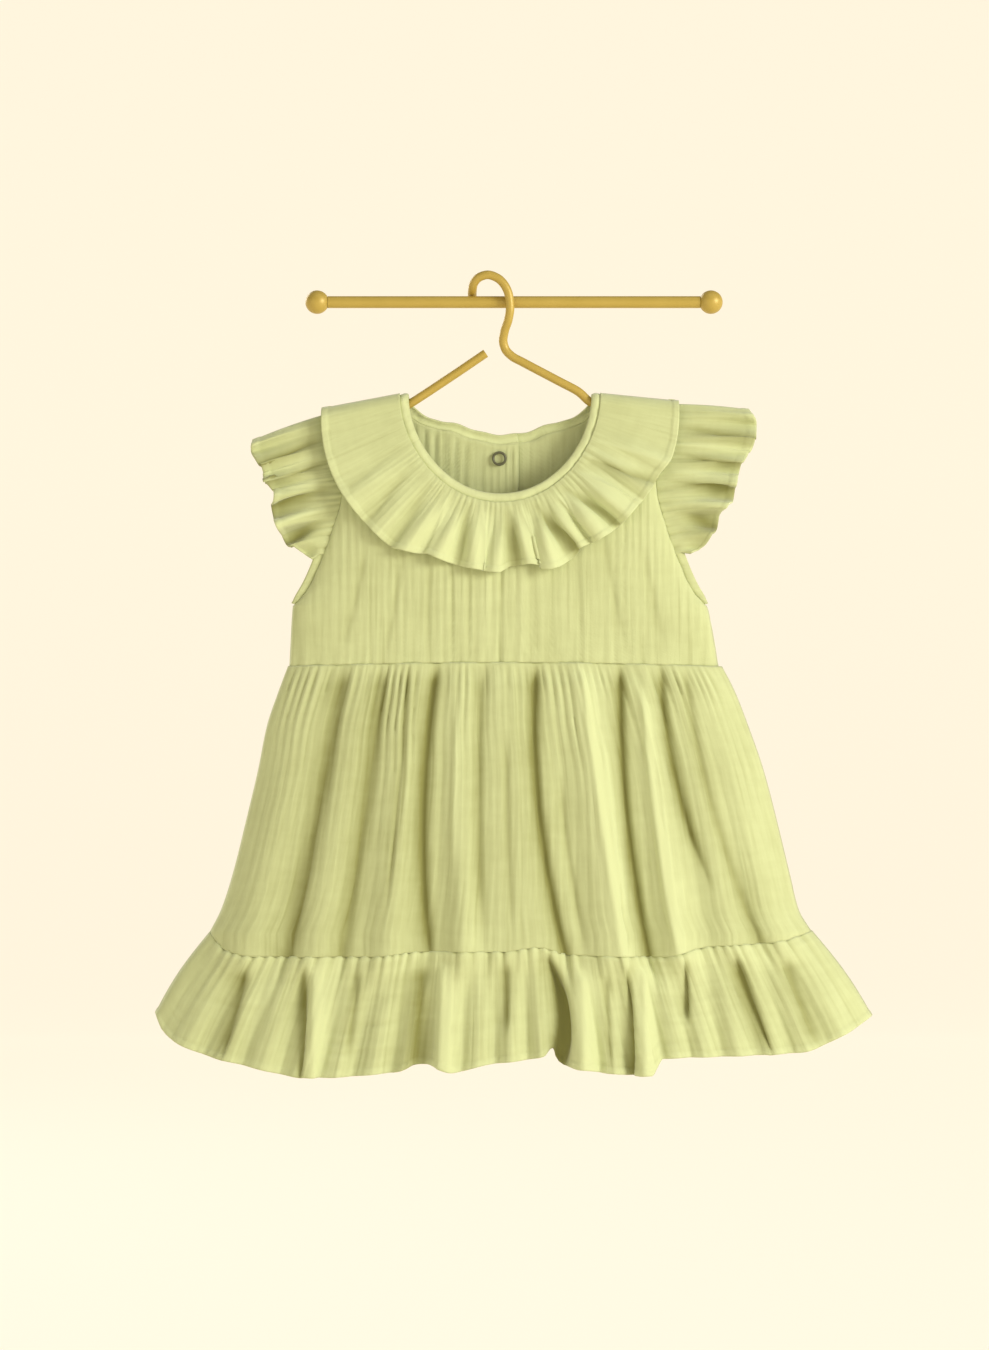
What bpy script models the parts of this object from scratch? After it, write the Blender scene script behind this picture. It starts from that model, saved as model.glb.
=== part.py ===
# Toddler's ruffle dress of crinkled muslin, on a bent wire hanger that hangs on a short rod.
# The front of the dress faces -Y. The origin is the middle of the rod's axis.
# Sizes and places are in millimetres, and MM turns them into the scene's metres.

import math

import bmesh
import bpy
from mathutils import Vector

MM = 0.001

# Cloth and seams
WALL = 1.2
BINDING_WALL = 1.5
SEAM_GAP = 0.3
HALF_SEAM = SEAM_GAP / 2

# Neck, shoulders and armholes
DRESS_MIDDLE = -8.9
NECK_TOP = -59.5
NECK_HALF_WIDTH = 61.0
FRONT_NECK_DROP = 65.5
BACK_NECK_DROP = 27.0
BINDING_WIDTH = 6.0
SHOULDER_HALF_WIDTH = 103.0
SHOULDER_SLOPE_LEFT = 0.22
SHOULDER_SLOPE_RIGHT = 0.13
SHOULDER_RADIUS = 5.0
ARMHOLE_TOP = -56.0
UNDERARM = -193.0
ARMHOLE_HALF_GAP = 5.0

# Shares of the way round a bodice half at which the underarm and the waist corner lie
UNDERARM_SHARE = 0.42
CORNER_SHARE = 0.58

# Waist, hem and back opening
WAIST = -231.7
WAIST_ARCH = 2.6
LAP_LEFT = -20.0
LAP_RIGHT = 3.0
LAP_STEP = 2.2
FRONT_GATHERS = 32
BACK_GATHERS = 26
HEM_SEAM_DEPTH = 28.0
HEM_DEPTH = 33.0
BACK_FLATTER = 4.0

# Neck ruffle and sleeves
RUFFLE_REACH = 113.0
RUFFLE_DEPTH = 47.0
RUFFLE_LIFT = 2.2
SLEEVE_LOW = -161.0
SLEEVE_HALF_DEPTH = 11.0
SLEEVE_FLUTES = 6
FLUTE_HEIGHT = 3.6
STRIP_LOW_WIDTH = 3.2

# Ring snap
SNAP_X = -9.3
SNAP_Z = -99.1
SNAP_RADIUS = 3.9
SNAP_WIRE = 0.8
CAP_RADIUS = 4.7
CAP_HEIGHT = 0.9

# Rod and hanger
ROD_RADIUS = 3.8
ROD_HALF_LENGTH = 118.4
BALL_RADIUS = 7.5
WIRE_RADIUS = 2.8


class Table:
    """Rows with named columns, read on a smooth curve through the first column."""

    def __init__(self, columns, *rows):
        self.columns = columns.split()
        self.rows = sorted(rows)

    def column(self, name):
        place = self.columns.index(name)
        return [row[place] for row in self.rows]

    def at(self, name, key):
        keys = self.column(self.columns[0])
        values = self.column(name)
        if key <= keys[0]:
            return values[0]
        if key >= keys[-1]:
            return values[-1]
        step = next(i for i in range(1, len(keys)) if key <= keys[i])
        slopes = [
            (values[i + 1] - values[i]) / (keys[i + 1] - keys[i])
            for i in range(len(keys) - 1)
        ]

        def tangent(row):
            if row in (0, len(keys) - 1):
                return slopes[min(row, len(slopes) - 1)]
            before, after = slopes[row - 1], slopes[row]
            return 0 if before * after <= 0 else 2 * before * after / (before + after)

        width = keys[step] - keys[step - 1]
        t = (key - keys[step - 1]) / width
        start, end = values[step - 1], values[step]
        rise_in, rise_out = tangent(step - 1) * width, tangent(step) * width
        return (
            (2 * t**3 - 3 * t**2 + 1) * start
            + (t**3 - 2 * t**2 + t) * rise_in
            + (3 * t**2 - 2 * t**3) * end
            + (t**3 - t**2) * rise_out
        )


# Side edges of the bodice: armhole, underarm and side seam
BODICE_EDGES = Table(
    "z left right",
    (-232, -142.5, 130.0),
    (-220, -142.0, 128.0),
    (-193.3, -140.5, 122.5),
    (-190, -137.0, 119.0),
    (-180.6, -130.0, 112.0),
    (-161, -121.2, 103.3),
    (-137.5, -112.9, 95.0),
    (-119.7, -108.5, 90.5),
    (-94, -107.5, 89.5),
    (-75, -111.0, 93.5),
    (-64, -112.0, 94.2),
)

# Side edges of the skirt
SKIRT_EDGES = Table(
    "z left right",
    (-400.4, -193.5, 189.5),
    (-386, -186.2, 181.0),
    (-364, -179.0, 175.5),
    (-327.6, -169.9, 166.7),
    (-296.7, -162.6, 158.5),
    (-269.4, -157.1, 149.0),
    (-247.6, -149.8, 140.5),
    (-229, -142.8, 131.0),
)

# How far the cloth stands from the middle plane, and how square the section is at its sides
SECTIONS = Table(
    "z front back squareness",
    (-480, 33, 29, 3.0),
    (-400, 28, 24, 3.0),
    (-330, 24, 21, 3.0),
    (-270, 20, 17.5, 3.0),
    (-245, 17.5, 15.5, 3.0),
    (-232, 15, 13, 3.0),
    (-190, 15, 13, 3.4),
    (-150, 14, 12, 5.0),
    (-110, 11.5, 10, 8.0),
    (-80, 8, 7.5, 12.0),
    (-60, 6, 6, 14.0),
)

# How far round the neck a share of the bodice's outline lies
NECK_TURN = Table(
    "share turn",
    (0.0, 0.0),
    (0.22, 0.34),
    (0.42, 0.66),
    (0.58, 0.8),
    (1.0, 1.0),
)

# Seam between skirt and hem ruffle
HEM_SEAM = Table(
    "x z",
    (-193.5, -400.4),
    (-182.7, -411.3),
    (-164.4, -415.0),
    (-91.6, -414.6),
    (-55.2, -411.3),
    (-8.9, -411.3),
    (14.7, -408.6),
    (34.7, -413.2),
    (92.9, -414.6),
    (122.1, -408.6),
    (165.7, -405.9),
    (189.5, -399.6),
)

# Lower edge of the hem ruffle from its left tip to its right tip
HEM = Table(
    "x z",
    (-228.0, -451.4),
    (-222.6, -462.3),
    (-209.9, -471.4),
    (-173.5, -482.3),
    (-128.0, -490.4),
    (-77.0, -486.9),
    (-56.0, -481.6),
    (-40.0, -487.0),
    (-18.8, -482.3),
    (18.4, -476.8),
    (25.6, -471.4),
    (31.1, -482.3),
    (63.8, -487.7),
    (85.0, -489.0),
    (94.0, -478.4),
    (136.6, -476.8),
    (180.3, -475.0),
    (209.4, -464.1),
    (227.6, -453.2),
)

# Scalloped outer edge of the neck ruffle, as the reach from the middle of the neck
RUFFLE_EDGE = Table(
    "angle reach",
    (0, 113.3),
    (23, 115.8),
    (43, 117.5),
    (54, 118.7),
    (61, 114.4),
    (67.5, 111.2),
    (80, 111.7),
    (89, 112.7),
    (94, 109.0),
    (99, 108.8),
    (107, 115.4),
    (114, 113.4),
    (117, 110.0),
    (129, 112.3),
    (153, 112.2),
    (161, 115.2),
    (180, 113.5),
)

# Outer edge of each sleeve from its ridge to its lower end
LEFT_SLEEVE = Table(
    "down x z",
    (0.0, -166.0, -87.6),
    (0.12, -167.0, -95.0),
    (0.24, -159.5, -106.0),
    (0.38, -158.5, -115.5),
    (0.5, -152.0, -122.0),
    (0.62, -153.0, -135.0),
    (0.78, -147.5, -148.5),
    (0.9, -139.5, -156.0),
    (1.0, -128.5, -163.0),
)
RIGHT_SLEEVE = Table(
    "down x z",
    (0.0, 149.0, -68.0),
    (0.12, 154.0, -78.0),
    (0.25, 152.0, -91.0),
    (0.38, 144.5, -103.3),
    (0.52, 141.5, -114.0),
    (0.66, 138.5, -127.0),
    (0.76, 131.5, -134.0),
    (0.86, 127.0, -145.0),
    (0.94, 121.0, -155.0),
    (1.0, 113.0, -159.0),
)

# Large folds: a ridge from its place at the upper seam to its place at the lower edge
FRONT_SKIRT_FOLDS = Table(
    "top hem half height",
    (-126, -172, 17, 4.5),
    (-96, -127, 16, 4.5),
    (-66, -80, 15, 5.5),
    (-33, -33, 15, 6.0),
    (-6, 3, 15, 5.0),
    (38, 62, 15, 7.5),
    (80, 104, 13, 5.5),
    (104, 138, 13, 4.5),
    (119, 168, 12, 4.0),
)
BACK_SKIRT_FOLDS = Table(
    "top hem half height",
    (-120, -166, 17, 5.0),
    (-88, -120, 15, 5.0),
    (-58, -76, 16, 6.0),
    (-22, -30, 15, 6.0),
    (10, 14, 15, 5.0),
    (44, 60, 15, 6.5),
    (78, 104, 14, 5.0),
    (110, 152, 15, 5.0),
)
FRONT_HEM_FOLDS = Table(
    "top hem half height",
    (-181, -209, 12, 4.5),
    (-160, -184, 12, 5.5),
    (-138, -160, 12, 5.0),
    (-116, -135, 12, 6.5),
    (-94, -113, 11, 5.0),
    (-74, -90, 11, 5.5),
    (-56, -68, 10, 5.0),
    (-38, -44, 11, 7.0),
    (-20, -24, 10, 5.0),
    (-2, -2, 11, 6.0),
    (13, 17, 8, 5.0),
    (35, 43, 11, 8.5),
    (53, 63, 10, 6.0),
    (71, 82, 11, 8.5),
    (91, 102, 10, 4.5),
    (108, 121, 10, 5.0),
    (126, 142, 11, 6.0),
    (144, 163, 11, 5.5),
    (161, 185, 11, 5.0),
    (176, 208, 11, 4.5),
)

# Flutes of the neck ruffle, by their angle round the neck
FRONT_RUFFLE_FOLDS = Table(
    "angle half height",
    (16, 10, 1.5),
    (34, 9, 2.0),
    (48, 7.5, 2.5),
    (59, 5.8, 4.0),
    (70, 5.5, 5.0),
    (80, 5.2, 4.5),
    (90, 5.2, 5.0),
    (99, 4.8, 4.5),
    (108, 5.0, 6.5),
    (117, 4.8, 5.5),
    (126, 4.8, 5.5),
    (136, 5.4, 6.5),
    (148, 6.0, 6.0),
    (159.5, 5.8, 5.0),
    (170, 5.0, 2.5),
)

# Middle line of the hanger's wire, from the hook's tip to the free end of the left arm
HANGER_WIRE = Table(
    "order x y z",
    (1, -26.6, 6.6, 2.5),
    (2, -26.6, 4.9, 5.2),
    (3, -26.5, 1.7, 7.1),
    (4, -26.0, -2.6, 10.4),
    (5, -22.6, -5.9, 15.0),
    (6, -16.7, -6.9, 16.8),
    (7, -10.6, -6.9, 14.8),
    (8, -5.6, -6.9, 9.6),
    (9, -3.2, -6.9, 3.4),
    (10, -2.5, -6.9, -4.0),
    (11, -3.6, -6.0, -11.5),
    (12, -5.8, -3.4, -18.0),
    (13, -6.9, -1.0, -24.3),
    (14, -5.6, 0.0, -29.6),
    (15, -1.3, 0.0, -34.4),
    (16, 6.0, 0.0, -38.4),
    (17, 28.0, 0.0, -50.0),
    (18, 41.0, 0.0, -57.0),
    (19, 49.0, 0.0, -63.6),
    (20, 58.0, 0.0, -65.5),
    (21, 70.0, 0.0, -67.3),
    (22, 78.0, 0.0, -69.5),
    (23, 82.0, 0.0, -73.6),
    (24, 83.0, 0.0, -80.0),
    (25, 78.0, 0.0, -120.0),
    (26, 76.0, 0.0, -130.0),
    (27, 72.0, 0.0, -135.0),
    (28, 64.0, 0.0, -136.5),
    (29, -82.0, 0.0, -136.5),
    (30, -90.0, 0.0, -135.0),
    (31, -94.0, 0.0, -130.0),
    (32, -96.0, 0.0, -120.0),
    (33, -100.6, 0.0, -82.0),
    (34, -99.4, 0.0, -76.0),
    (35, -94.5, 0.0, -73.0),
    (36, -84.0, 0.0, -71.6),
    (37, -76.0, 0.0, -69.6),
    (38, -68.8, 0.0, -66.1),
    (39, -40.0, 0.0, -47.4),
    (40, -18.0, 0.0, -32.5),
)


def mix(start, end, share):
    return start + (end - start) * share


def soft_step(share):
    share = min(max(share, 0.0), 1.0)
    return share * share * (3 - 2 * share)


def rounded(share):
    """Quarter of a circle that rises from 0 to 1 with an upright start."""
    share = min(max(share, 0.0), 1.0)
    return math.sqrt(1 - (1 - share) ** 2)


def swell(gap):
    """Smooth bump of height 1 that ends where gap is 1."""
    return 0.5 + 0.5 * math.cos(math.pi * gap) if gap < 1 else 0.0


def even(count):
    return [i / count for i in range(count + 1)]


def rounded_ends(count, fine):
    """Even steps with short extra ones at both ends, where the cloth turns a corner."""
    inner = [mix(fine[-1], 1 - fine[-1], share) for share in even(count)]
    return [0.0, *fine[:-1], *inner, *[1 - share for share in reversed(fine[:-1])], 1.0]


def shoulder(x):
    """Height of the bodice's shoulder ridge at x."""
    out = abs(x - DRESS_MIDDLE) - NECK_HALF_WIDTH
    slope = SHOULDER_SLOPE_LEFT if x < DRESS_MIDDLE else SHOULDER_SLOPE_RIGHT
    return NECK_TOP - slope * out


def waist(x):
    side = (x - DRESS_MIDDLE) / (BODICE_EDGES.at("right", WAIST) - DRESS_MIDDLE)
    return WAIST + WAIST_ARCH * max(0.0, 1 - side * side)


def armhole_gap(z):
    """Half the clear width between the front and back edges of an armhole."""
    share = (z - UNDERARM) / (ARMHOLE_TOP - UNDERARM)
    if not 0 < share < 1:
        return HALF_SEAM
    return HALF_SEAM + ARMHOLE_HALF_GAP * math.sin(math.pi * share) ** 0.6


def body_depth(side, x, z, edges, edge_gap):
    """Distance of the body's outer face from the middle plane."""
    left, right = edges.at("left", z), edges.at("right", z)
    across = abs(2 * (x - left) / (right - left) - 1)
    full = SECTIONS.at(side, z)
    turn = max(0.0, 1 - across ** SECTIONS.at("squareness", z)) ** 0.5
    return edge_gap + (full - edge_gap) * turn


def close_over_shoulder(depth, x, z, lift):
    """Draws a face in to the seam on the shoulder ridge, lifted off the bodice."""
    drop = shoulder(x) + lift - z
    return HALF_SEAM + (depth - HALF_SEAM) * rounded(drop / (SHOULDER_RADIUS + lift))


def neck_place(side, angle, out):
    """Point on or outside the neck line at an angle from the left neck point."""
    turn = math.radians(angle)
    drop = FRONT_NECK_DROP if side == "front" else BACK_NECK_DROP
    x = DRESS_MIDDLE - (NECK_HALF_WIDTH + out) * math.cos(turn)
    z = NECK_TOP - (drop + out) * math.sin(turn)
    return x, z + ridge_shift(x, angle, 0.0)


def ridge_shift(x, angle, lift):
    """Brings a line round the neck onto the sloping shoulder ridge where it crosses it."""
    return (shoulder(x) - NECK_TOP + lift) * math.cos(math.radians(angle)) ** 4


def lap(x):
    """Extra depth where the right half of the back lies over the left half."""
    return LAP_STEP * soft_step((LAP_RIGHT + 22 - x) / 18)


def bodice_outline(edge_name, share, end_x):
    """Point of the outer edge, from the shoulder tip by the armhole and side to the waist."""
    sign = -1 if edge_name == "left" else 1
    tip_z = shoulder(DRESS_MIDDLE + sign * SHOULDER_HALF_WIDTH)
    corner_x = BODICE_EDGES.at(edge_name, WAIST)
    if share < UNDERARM_SHARE:
        z = mix(tip_z, UNDERARM, (share / UNDERARM_SHARE) ** 1.3)
        return BODICE_EDGES.at(edge_name, z), z
    if share < CORNER_SHARE:
        down = (share - UNDERARM_SHARE) / (CORNER_SHARE - UNDERARM_SHARE)
        z = mix(UNDERARM, waist(corner_x), down)
        return BODICE_EDGES.at(edge_name, z), z
    x = mix(corner_x, end_x, (share - CORNER_SHARE) / (1 - CORNER_SHARE))
    return x, waist(x)


def bodice_place(side, edge_name, share, down, end_x):
    """Point of one half of the bodice: round the neck by share, down from neck to outline."""
    band = BINDING_WIDTH / 2 + SEAM_GAP
    end_angle = math.degrees(math.acos((DRESS_MIDDLE - end_x) / (NECK_HALF_WIDTH + band)))
    turn = NECK_TURN.at("turn", share)
    angle = turn * end_angle if edge_name == "left" else 180 - turn * (180 - end_angle)
    neck_x, neck_z = neck_place(side, angle, band)
    out_x, out_z = bodice_outline(edge_name, share, end_x)
    return mix(neck_x, out_x, down), mix(neck_z, out_z, down)


def bodice_depth(side, x, z):
    depth = body_depth(side, x, z, BODICE_EDGES, armhole_gap(z))
    return close_over_shoulder(depth, x, z, 0.0)


def fold_height(folds, x, down, middle=DRESS_MIDDLE):
    """Sum of the ridges that pass a place, higher towards the lower edge."""
    total = 0.0
    for top, hem, half, height in folds.rows:
        line = mix(top, hem, down)
        spread = half * mix(1.0, (hem - middle) / (top - middle), down)
        total += height * mix(0.25, 1.0, soft_step(down)) * swell(abs(x - line) / spread)
    return total


def gather(step, count):
    """Alternate rise and dip of the small gathers, uneven from one to the next."""
    if step < 3 or step > count - 4:
        return 0.0
    return (1 if step % 2 else -1) * (0.75 + 0.25 * math.sin(step * 1.9))


def material(name, colour, roughness, metallic=0.0):
    made = bpy.data.materials.new(name)
    made.use_nodes = True
    shader = made.node_tree.nodes["Principled BSDF"]
    shader.inputs["Base Color"].default_value = (*colour, 1.0)
    shader.inputs["Roughness"].default_value = roughness
    shader.inputs["Metallic"].default_value = metallic
    return made


def finish(shape, name, surface, sharp=40):
    """Puts a mesh in the dress collection with its material and smooth shading."""
    made = bpy.data.objects.new(name, shape)
    shape.materials.clear()
    shape.materials.append(surface)
    shape.shade_smooth()
    shape.set_sharp_from_angle(angle=math.radians(sharp))
    dress.objects.link(made)
    return made


def sheet(name, across, down, place, face, surface, wall=WALL, lean=None, field=None):
    """Cloth wall: a grid with thickness, bent so that its outer face passes place(u, v, column).

    face is 1 or -1 and picks the side that the wall's outer face looks to.
    lean may correct the direction of the wall's thickness at an edge.
    field gives the depth at (x, z), and then the thickness stands square on that depth.
    """
    columns, rows = len(across), len(down)
    outer = [[Vector(place(u, v, i)) for v in down] for i, u in enumerate(across)]
    inner = []
    for i in range(columns):
        line = []
        for j in range(rows):
            along = outer[min(i + 1, columns - 1)][j] - outer[max(i - 1, 0)][j]
            below = outer[i][min(j + 1, rows - 1)] - outer[i][max(j - 1, 0)]
            normal = along.cross(below).normalized() * face
            if field:
                normal = field_normal(field, outer[i][j].x, outer[i][j].z, face)
            if lean:
                normal = lean(across[i], down[j], normal).normalized()
            line.append(outer[i][j] - normal * wall)
        inner.append(line)

    slab = bmesh.new()
    bmesh.ops.create_grid(slab, x_segments=columns - 1, y_segments=rows - 1, size=0.5)
    bmesh.ops.solidify(slab, geom=slab.faces[:], thickness=1.0)
    lowest = min(vert.co.z for vert in slab.verts)
    for vert in slab.verts:
        i = round((vert.co.x + 0.5) * (columns - 1))
        j = round((vert.co.y + 0.5) * (rows - 1))
        layer = inner if vert.co.z - lowest < 0.5 else outer
        vert.co = layer[i][j] * MM
    if slab.calc_volume(signed=True) < 0:
        bmesh.ops.reverse_faces(slab, faces=slab.faces[:])
    shape = bpy.data.meshes.new(name)
    slab.to_mesh(shape)
    slab.free()
    return finish(shape, name, surface)


def level(normal):
    return Vector((normal.x, normal.y, 0.0))


def field_normal(field, x, z, face):
    """Outward direction of a face whose distance from the middle plane is field(x, z)."""
    step = 0.05
    slope_x = (field(x + step, z) - field(x - step, z)) / (2 * step)
    slope_z = (field(x, z + step) - field(x, z - step)) / (2 * step)
    return Vector((-slope_x, face, -slope_z)).normalized()


# Bodice


BODICE_SHARES = [0, 0.007, 0.022, 0.05, 0.09, 0.135, 0.18, 0.23, 0.28, 0.33, 0.375,
                 UNDERARM_SHARE, 0.5, CORNER_SHARE, 0.66, 0.74, 0.82, 0.91, 1]
BODICE_DOWN = [0, 0.14, 0.32, 0.52, 0.72, 0.89, 1]


def bodice_lean(share, down, normal, sign):
    """Thickness runs sideways at the side edges, level at the waist and down at the shoulder."""
    if share == 0.0:
        return Vector((0.0, 0.0, 1.0))
    if down == 1.0 and share <= CORNER_SHARE:
        turned = soft_step(share / 0.09)
        return Vector((sign * turned, 0.0, 1 - turned))
    return level(normal) if down == 1.0 else normal


def make_bodice(surface):
    def front(across, down, step):
        edge_name = "left" if across <= 0.5 else "right"
        share = 1 - abs(2 * across - 1)
        x, z = bodice_place("front", edge_name, share, down, DRESS_MIDDLE)
        return x, -bodice_depth("front", x, z), z

    def front_lean(across, down, normal):
        return bodice_lean(1 - abs(2 * across - 1), down, normal, -1 if across < 0.5 else 1)

    halves = [share / 2 for share in BODICE_SHARES]
    columns = [*halves, *[1 - share for share in reversed(halves[:-1])]]
    sheet("bodice_front", columns, BODICE_DOWN, front, -1, surface, lean=front_lean,
          field=lambda x, z: bodice_depth("front", x, z))

    def back_half(name, edge_name, sign, end_x, extra):
        def depth(x, z):
            return bodice_depth("back", x, z) + extra(x)

        def place(share, down, step):
            x, z = bodice_place("back", edge_name, share, down, end_x)
            return x, depth(x, z), z

        def lean(share, down, normal):
            return bodice_lean(share, down, normal, sign)

        order = BODICE_SHARES if edge_name == "left" else list(reversed(BODICE_SHARES))
        sheet(name, order, BODICE_DOWN, place, 1, surface, lean=lean, field=depth)

    back_half("bodice_back_left", "left", -1, LAP_RIGHT, lambda x: 0.0)
    back_half("bodice_back_right", "right", 1, LAP_LEFT, lap)


# Neck binding


def make_neck_binding(surface):
    """Bias strip on the neck line, in the same steps round the neck as the bodice."""
    lift = 0.5
    band = BINDING_WIDTH / 2 + SEAM_GAP

    def strip(name, side, face, angles, extra):
        def depth(x, z):
            return close_over_shoulder(SECTIONS.at(side, z) + lift, x, z, lift) + extra(x)

        def place(angle, down, step):
            out = mix(-BINDING_WIDTH / 2, BINDING_WIDTH / 2, down)
            x, z = neck_place(side, angle, out)
            z += ridge_shift(x, angle, lift) - ridge_shift(x, angle, 0.0)
            return x, face * depth(x, z), z

        def lean(angle, down, normal):
            return Vector((0.0, 0.0, 1.0)) if angle in (0.0, 180.0) else normal

        sheet(name, angles, [0, 1], place, face, surface, wall=BINDING_WALL, lean=lean,
              field=depth)

    def end_angle(end_x):
        return math.degrees(math.acos((DRESS_MIDDLE - end_x) / (NECK_HALF_WIDTH + band)))

    turns = [NECK_TURN.at("turn", share) for share in BODICE_SHARES]
    half = [turn * 90 for turn in turns]
    strip("neck_binding_front", "front", -1,
          [*half, *[180 - angle for angle in reversed(half[:-1])]], lambda x: 0.0)
    left_end, right_end = end_angle(LAP_RIGHT), end_angle(LAP_LEFT)
    strip("neck_binding_back_left", "back", 1,
          [turn * left_end for turn in turns], lambda x: 0.0)
    strip("neck_binding_back_right", "back", 1,
          [180 - turn * (180 - right_end) for turn in reversed(turns)], lap)


# Neck ruffle


def ruffle_place(side, angle, down, flutes, extra):
    """Point of the neck ruffle: down from its seam at the neck to its outer edge."""
    start = BINDING_WIDTH / 2 + SEAM_GAP
    x_in, z_in = neck_place(side, angle, start)
    if side == "front":
        reach = RUFFLE_EDGE.at("reach", angle)
        turn = math.radians(angle)
        x_out = DRESS_MIDDLE - reach * math.cos(turn)
        z_out = NECK_TOP - reach * math.sin(turn) + ridge_shift(x_out, angle, 0.0)
    else:
        x_out, z_out = neck_place(side, angle, start + RUFFLE_DEPTH)
    at_shoulder = math.cos(math.radians(angle)) ** 4
    lift = RUFFLE_LIFT + 1.5 * down * at_shoulder
    x = mix(x_in, x_out, down)
    z = mix(z_in, z_out, down) + lift * at_shoulder
    wave = flutes * soft_step(down * 1.4) * (1 - soft_step(at_shoulder * 2 - 1))
    depth = SECTIONS.at(side, z) + lift + extra + wave
    return x, z, close_over_shoulder(depth, x, z, lift)


def make_neck_ruffle(surface):
    rows = [0, 0.18, 0.42, 0.7, 1]

    def ridge_lean(across, down, normal):
        return Vector((0.0, 0.0, 1.0)) if across in (0.0, 1.0) else normal

    def front(across, down, step):
        angle = 180 * across
        flutes = sum(
            height * swell(abs(angle - middle) / half)
            for middle, half, height in FRONT_RUFFLE_FOLDS.rows
        )
        x, z, depth = ruffle_place("front", angle, down, flutes, 0.0)
        return x, -depth, z

    def back(across, down, step):
        angle = 180 * across
        flutes = 4.2 * swell(abs((angle / 11.5) % 1 - 0.5) * 2) * (0.8 + 0.2 * math.sin(angle))
        near_lap = swell(abs(angle - 90) / 45)
        x, z, depth = ruffle_place("back", angle, down, flutes, 4.4 * near_lap)
        return x, depth, z

    fine = [0.006, 0.016, 0.03]
    sheet("neck_ruffle_front", rounded_ends(62, fine), rows, front, -1, surface, lean=ridge_lean)
    split = 0.5 + math.asin((LAP_LEFT - DRESS_MIDDLE) / RUFFLE_REACH) / math.pi
    left = [0, *fine[:-1], *[mix(fine[-1], split - 0.002, share) for share in even(26)]]
    right = [
        *[mix(split + 0.002, 1 - fine[-1], share) for share in even(28)],
        *[1 - share for share in reversed(fine[:-1])],
        1,
    ]
    sheet("neck_ruffle_back_left", left, rows, back, 1, surface, lean=ridge_lean)
    sheet("neck_ruffle_back_right", right, rows, back, 1, surface, lean=ridge_lean)


# Sleeves and armhole bindings


def make_sleeve(name, edge_name, outline, sign, surface):
    """Flutter sleeve: gathered on the armhole, its outer edge fluted, open underneath."""
    def place(across, down, step):
        low = abs(2 * across - 1)
        side = -1 if across < 0.5 else 1
        tip_z = shoulder(DRESS_MIDDLE + sign * SHOULDER_HALF_WIDTH)
        seam_z = mix(tip_z, SLEEVE_LOW, low)
        seam_x = BODICE_EDGES.at(edge_name, seam_z) + sign * 2 * SEAM_GAP
        seam_y = side * (2.2 + 0.6 * armhole_gap(seam_z)) * rounded(low / 0.1)
        edge_x, edge_z = outline.at("x", low), outline.at("z", low)
        edge_y = side * SLEEVE_HALF_DEPTH * rounded(low / 0.3) * (1 - 0.3 * low * low)
        wave = math.sin(2 * math.pi * SLEEVE_FLUTES * low)
        flute = FLUTE_HEIGHT * wave * soft_step(low / 0.12)
        sag = 0.05 * down * (1 - down)
        x = mix(seam_x, edge_x, down)
        y = mix(seam_y, edge_y, down) + side * flute * soft_step(down * 1.25 - 0.25)
        z = mix(seam_z, edge_z, down) + sag * (tip_z - SLEEVE_LOW)
        return x, y, z

    half = [0, 0.03, 0.07, 0.12, *[mix(0.18, 1, share) for share in even(16)]]
    columns = [*[0.5 - low / 2 for low in reversed(half)], *[0.5 + low / 2 for low in half[1:]]]
    sheet(name, columns, [0, 0.22, 0.5, 0.76, 1], place, -sign, surface)


def make_armhole_binding(name, edge_name, sign, surface):
    """Bias strip round the lower part of an armhole, from front to back."""
    top = SLEEVE_LOW - 4.5
    low = UNDERARM + 1.6

    def place(across, down, step):
        rise = abs(2 * across - 1)
        side = -1 if across < 0.5 else 1
        z = mix(low, top, 1 - math.cos(rise * math.pi / 2) if rise < 1 else 1.0)
        width = mix(STRIP_LOW_WIDTH, BINDING_WIDTH, soft_step(rise * 2))
        x = BODICE_EDGES.at(edge_name, z) + sign * (4 * SEAM_GAP + width * down)
        y = side * mix(0.0, ARMHOLE_HALF_GAP, math.sin(min(1.0, rise * 1.6) * math.pi / 2))
        return x, y, z

    sheet(name, even(20), [0, 1], place, sign, surface, wall=BINDING_WALL)


# Skirt and hem ruffle


def skirt_place(side, folds, gathers):
    sign = -1 if side == "front" else 1

    def place(across, down, step):
        top_x = mix(SKIRT_EDGES.at("left", WAIST), SKIRT_EDGES.at("right", WAIST), across)
        low_x = mix(SKIRT_EDGES.column("left")[0], SKIRT_EDGES.column("right")[0], across)
        top_z = waist(top_x) - SEAM_GAP
        low_z = HEM_SEAM.at("z", low_x)
        z = mix(top_z, low_z, down)
        x = mix(SKIRT_EDGES.at("left", z), SKIRT_EDGES.at("right", z), across)
        depth = body_depth(side, x, z, SKIRT_EDGES, HALF_SEAM)
        fade = rounded(min(across, 1 - across) / 0.05)
        ripple = 0.9 * gather(step, gathers) * mix(1.0, 0.35, soft_step(down * 1.6))
        if 0.0 < across < 1.0:
            depth += fade * (fold_height(folds, x, down) + ripple * (0.55 if down == 0 else 1))
        return x, sign * depth, z

    return place


def panel_lean(across, down, normal):
    if across == 0.0:
        return Vector((-1.0, 0.0, 0.0))
    if across == 1.0:
        return Vector((1.0, 0.0, 0.0))
    return level(normal) if down in (0.0, 1.0) else normal


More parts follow.
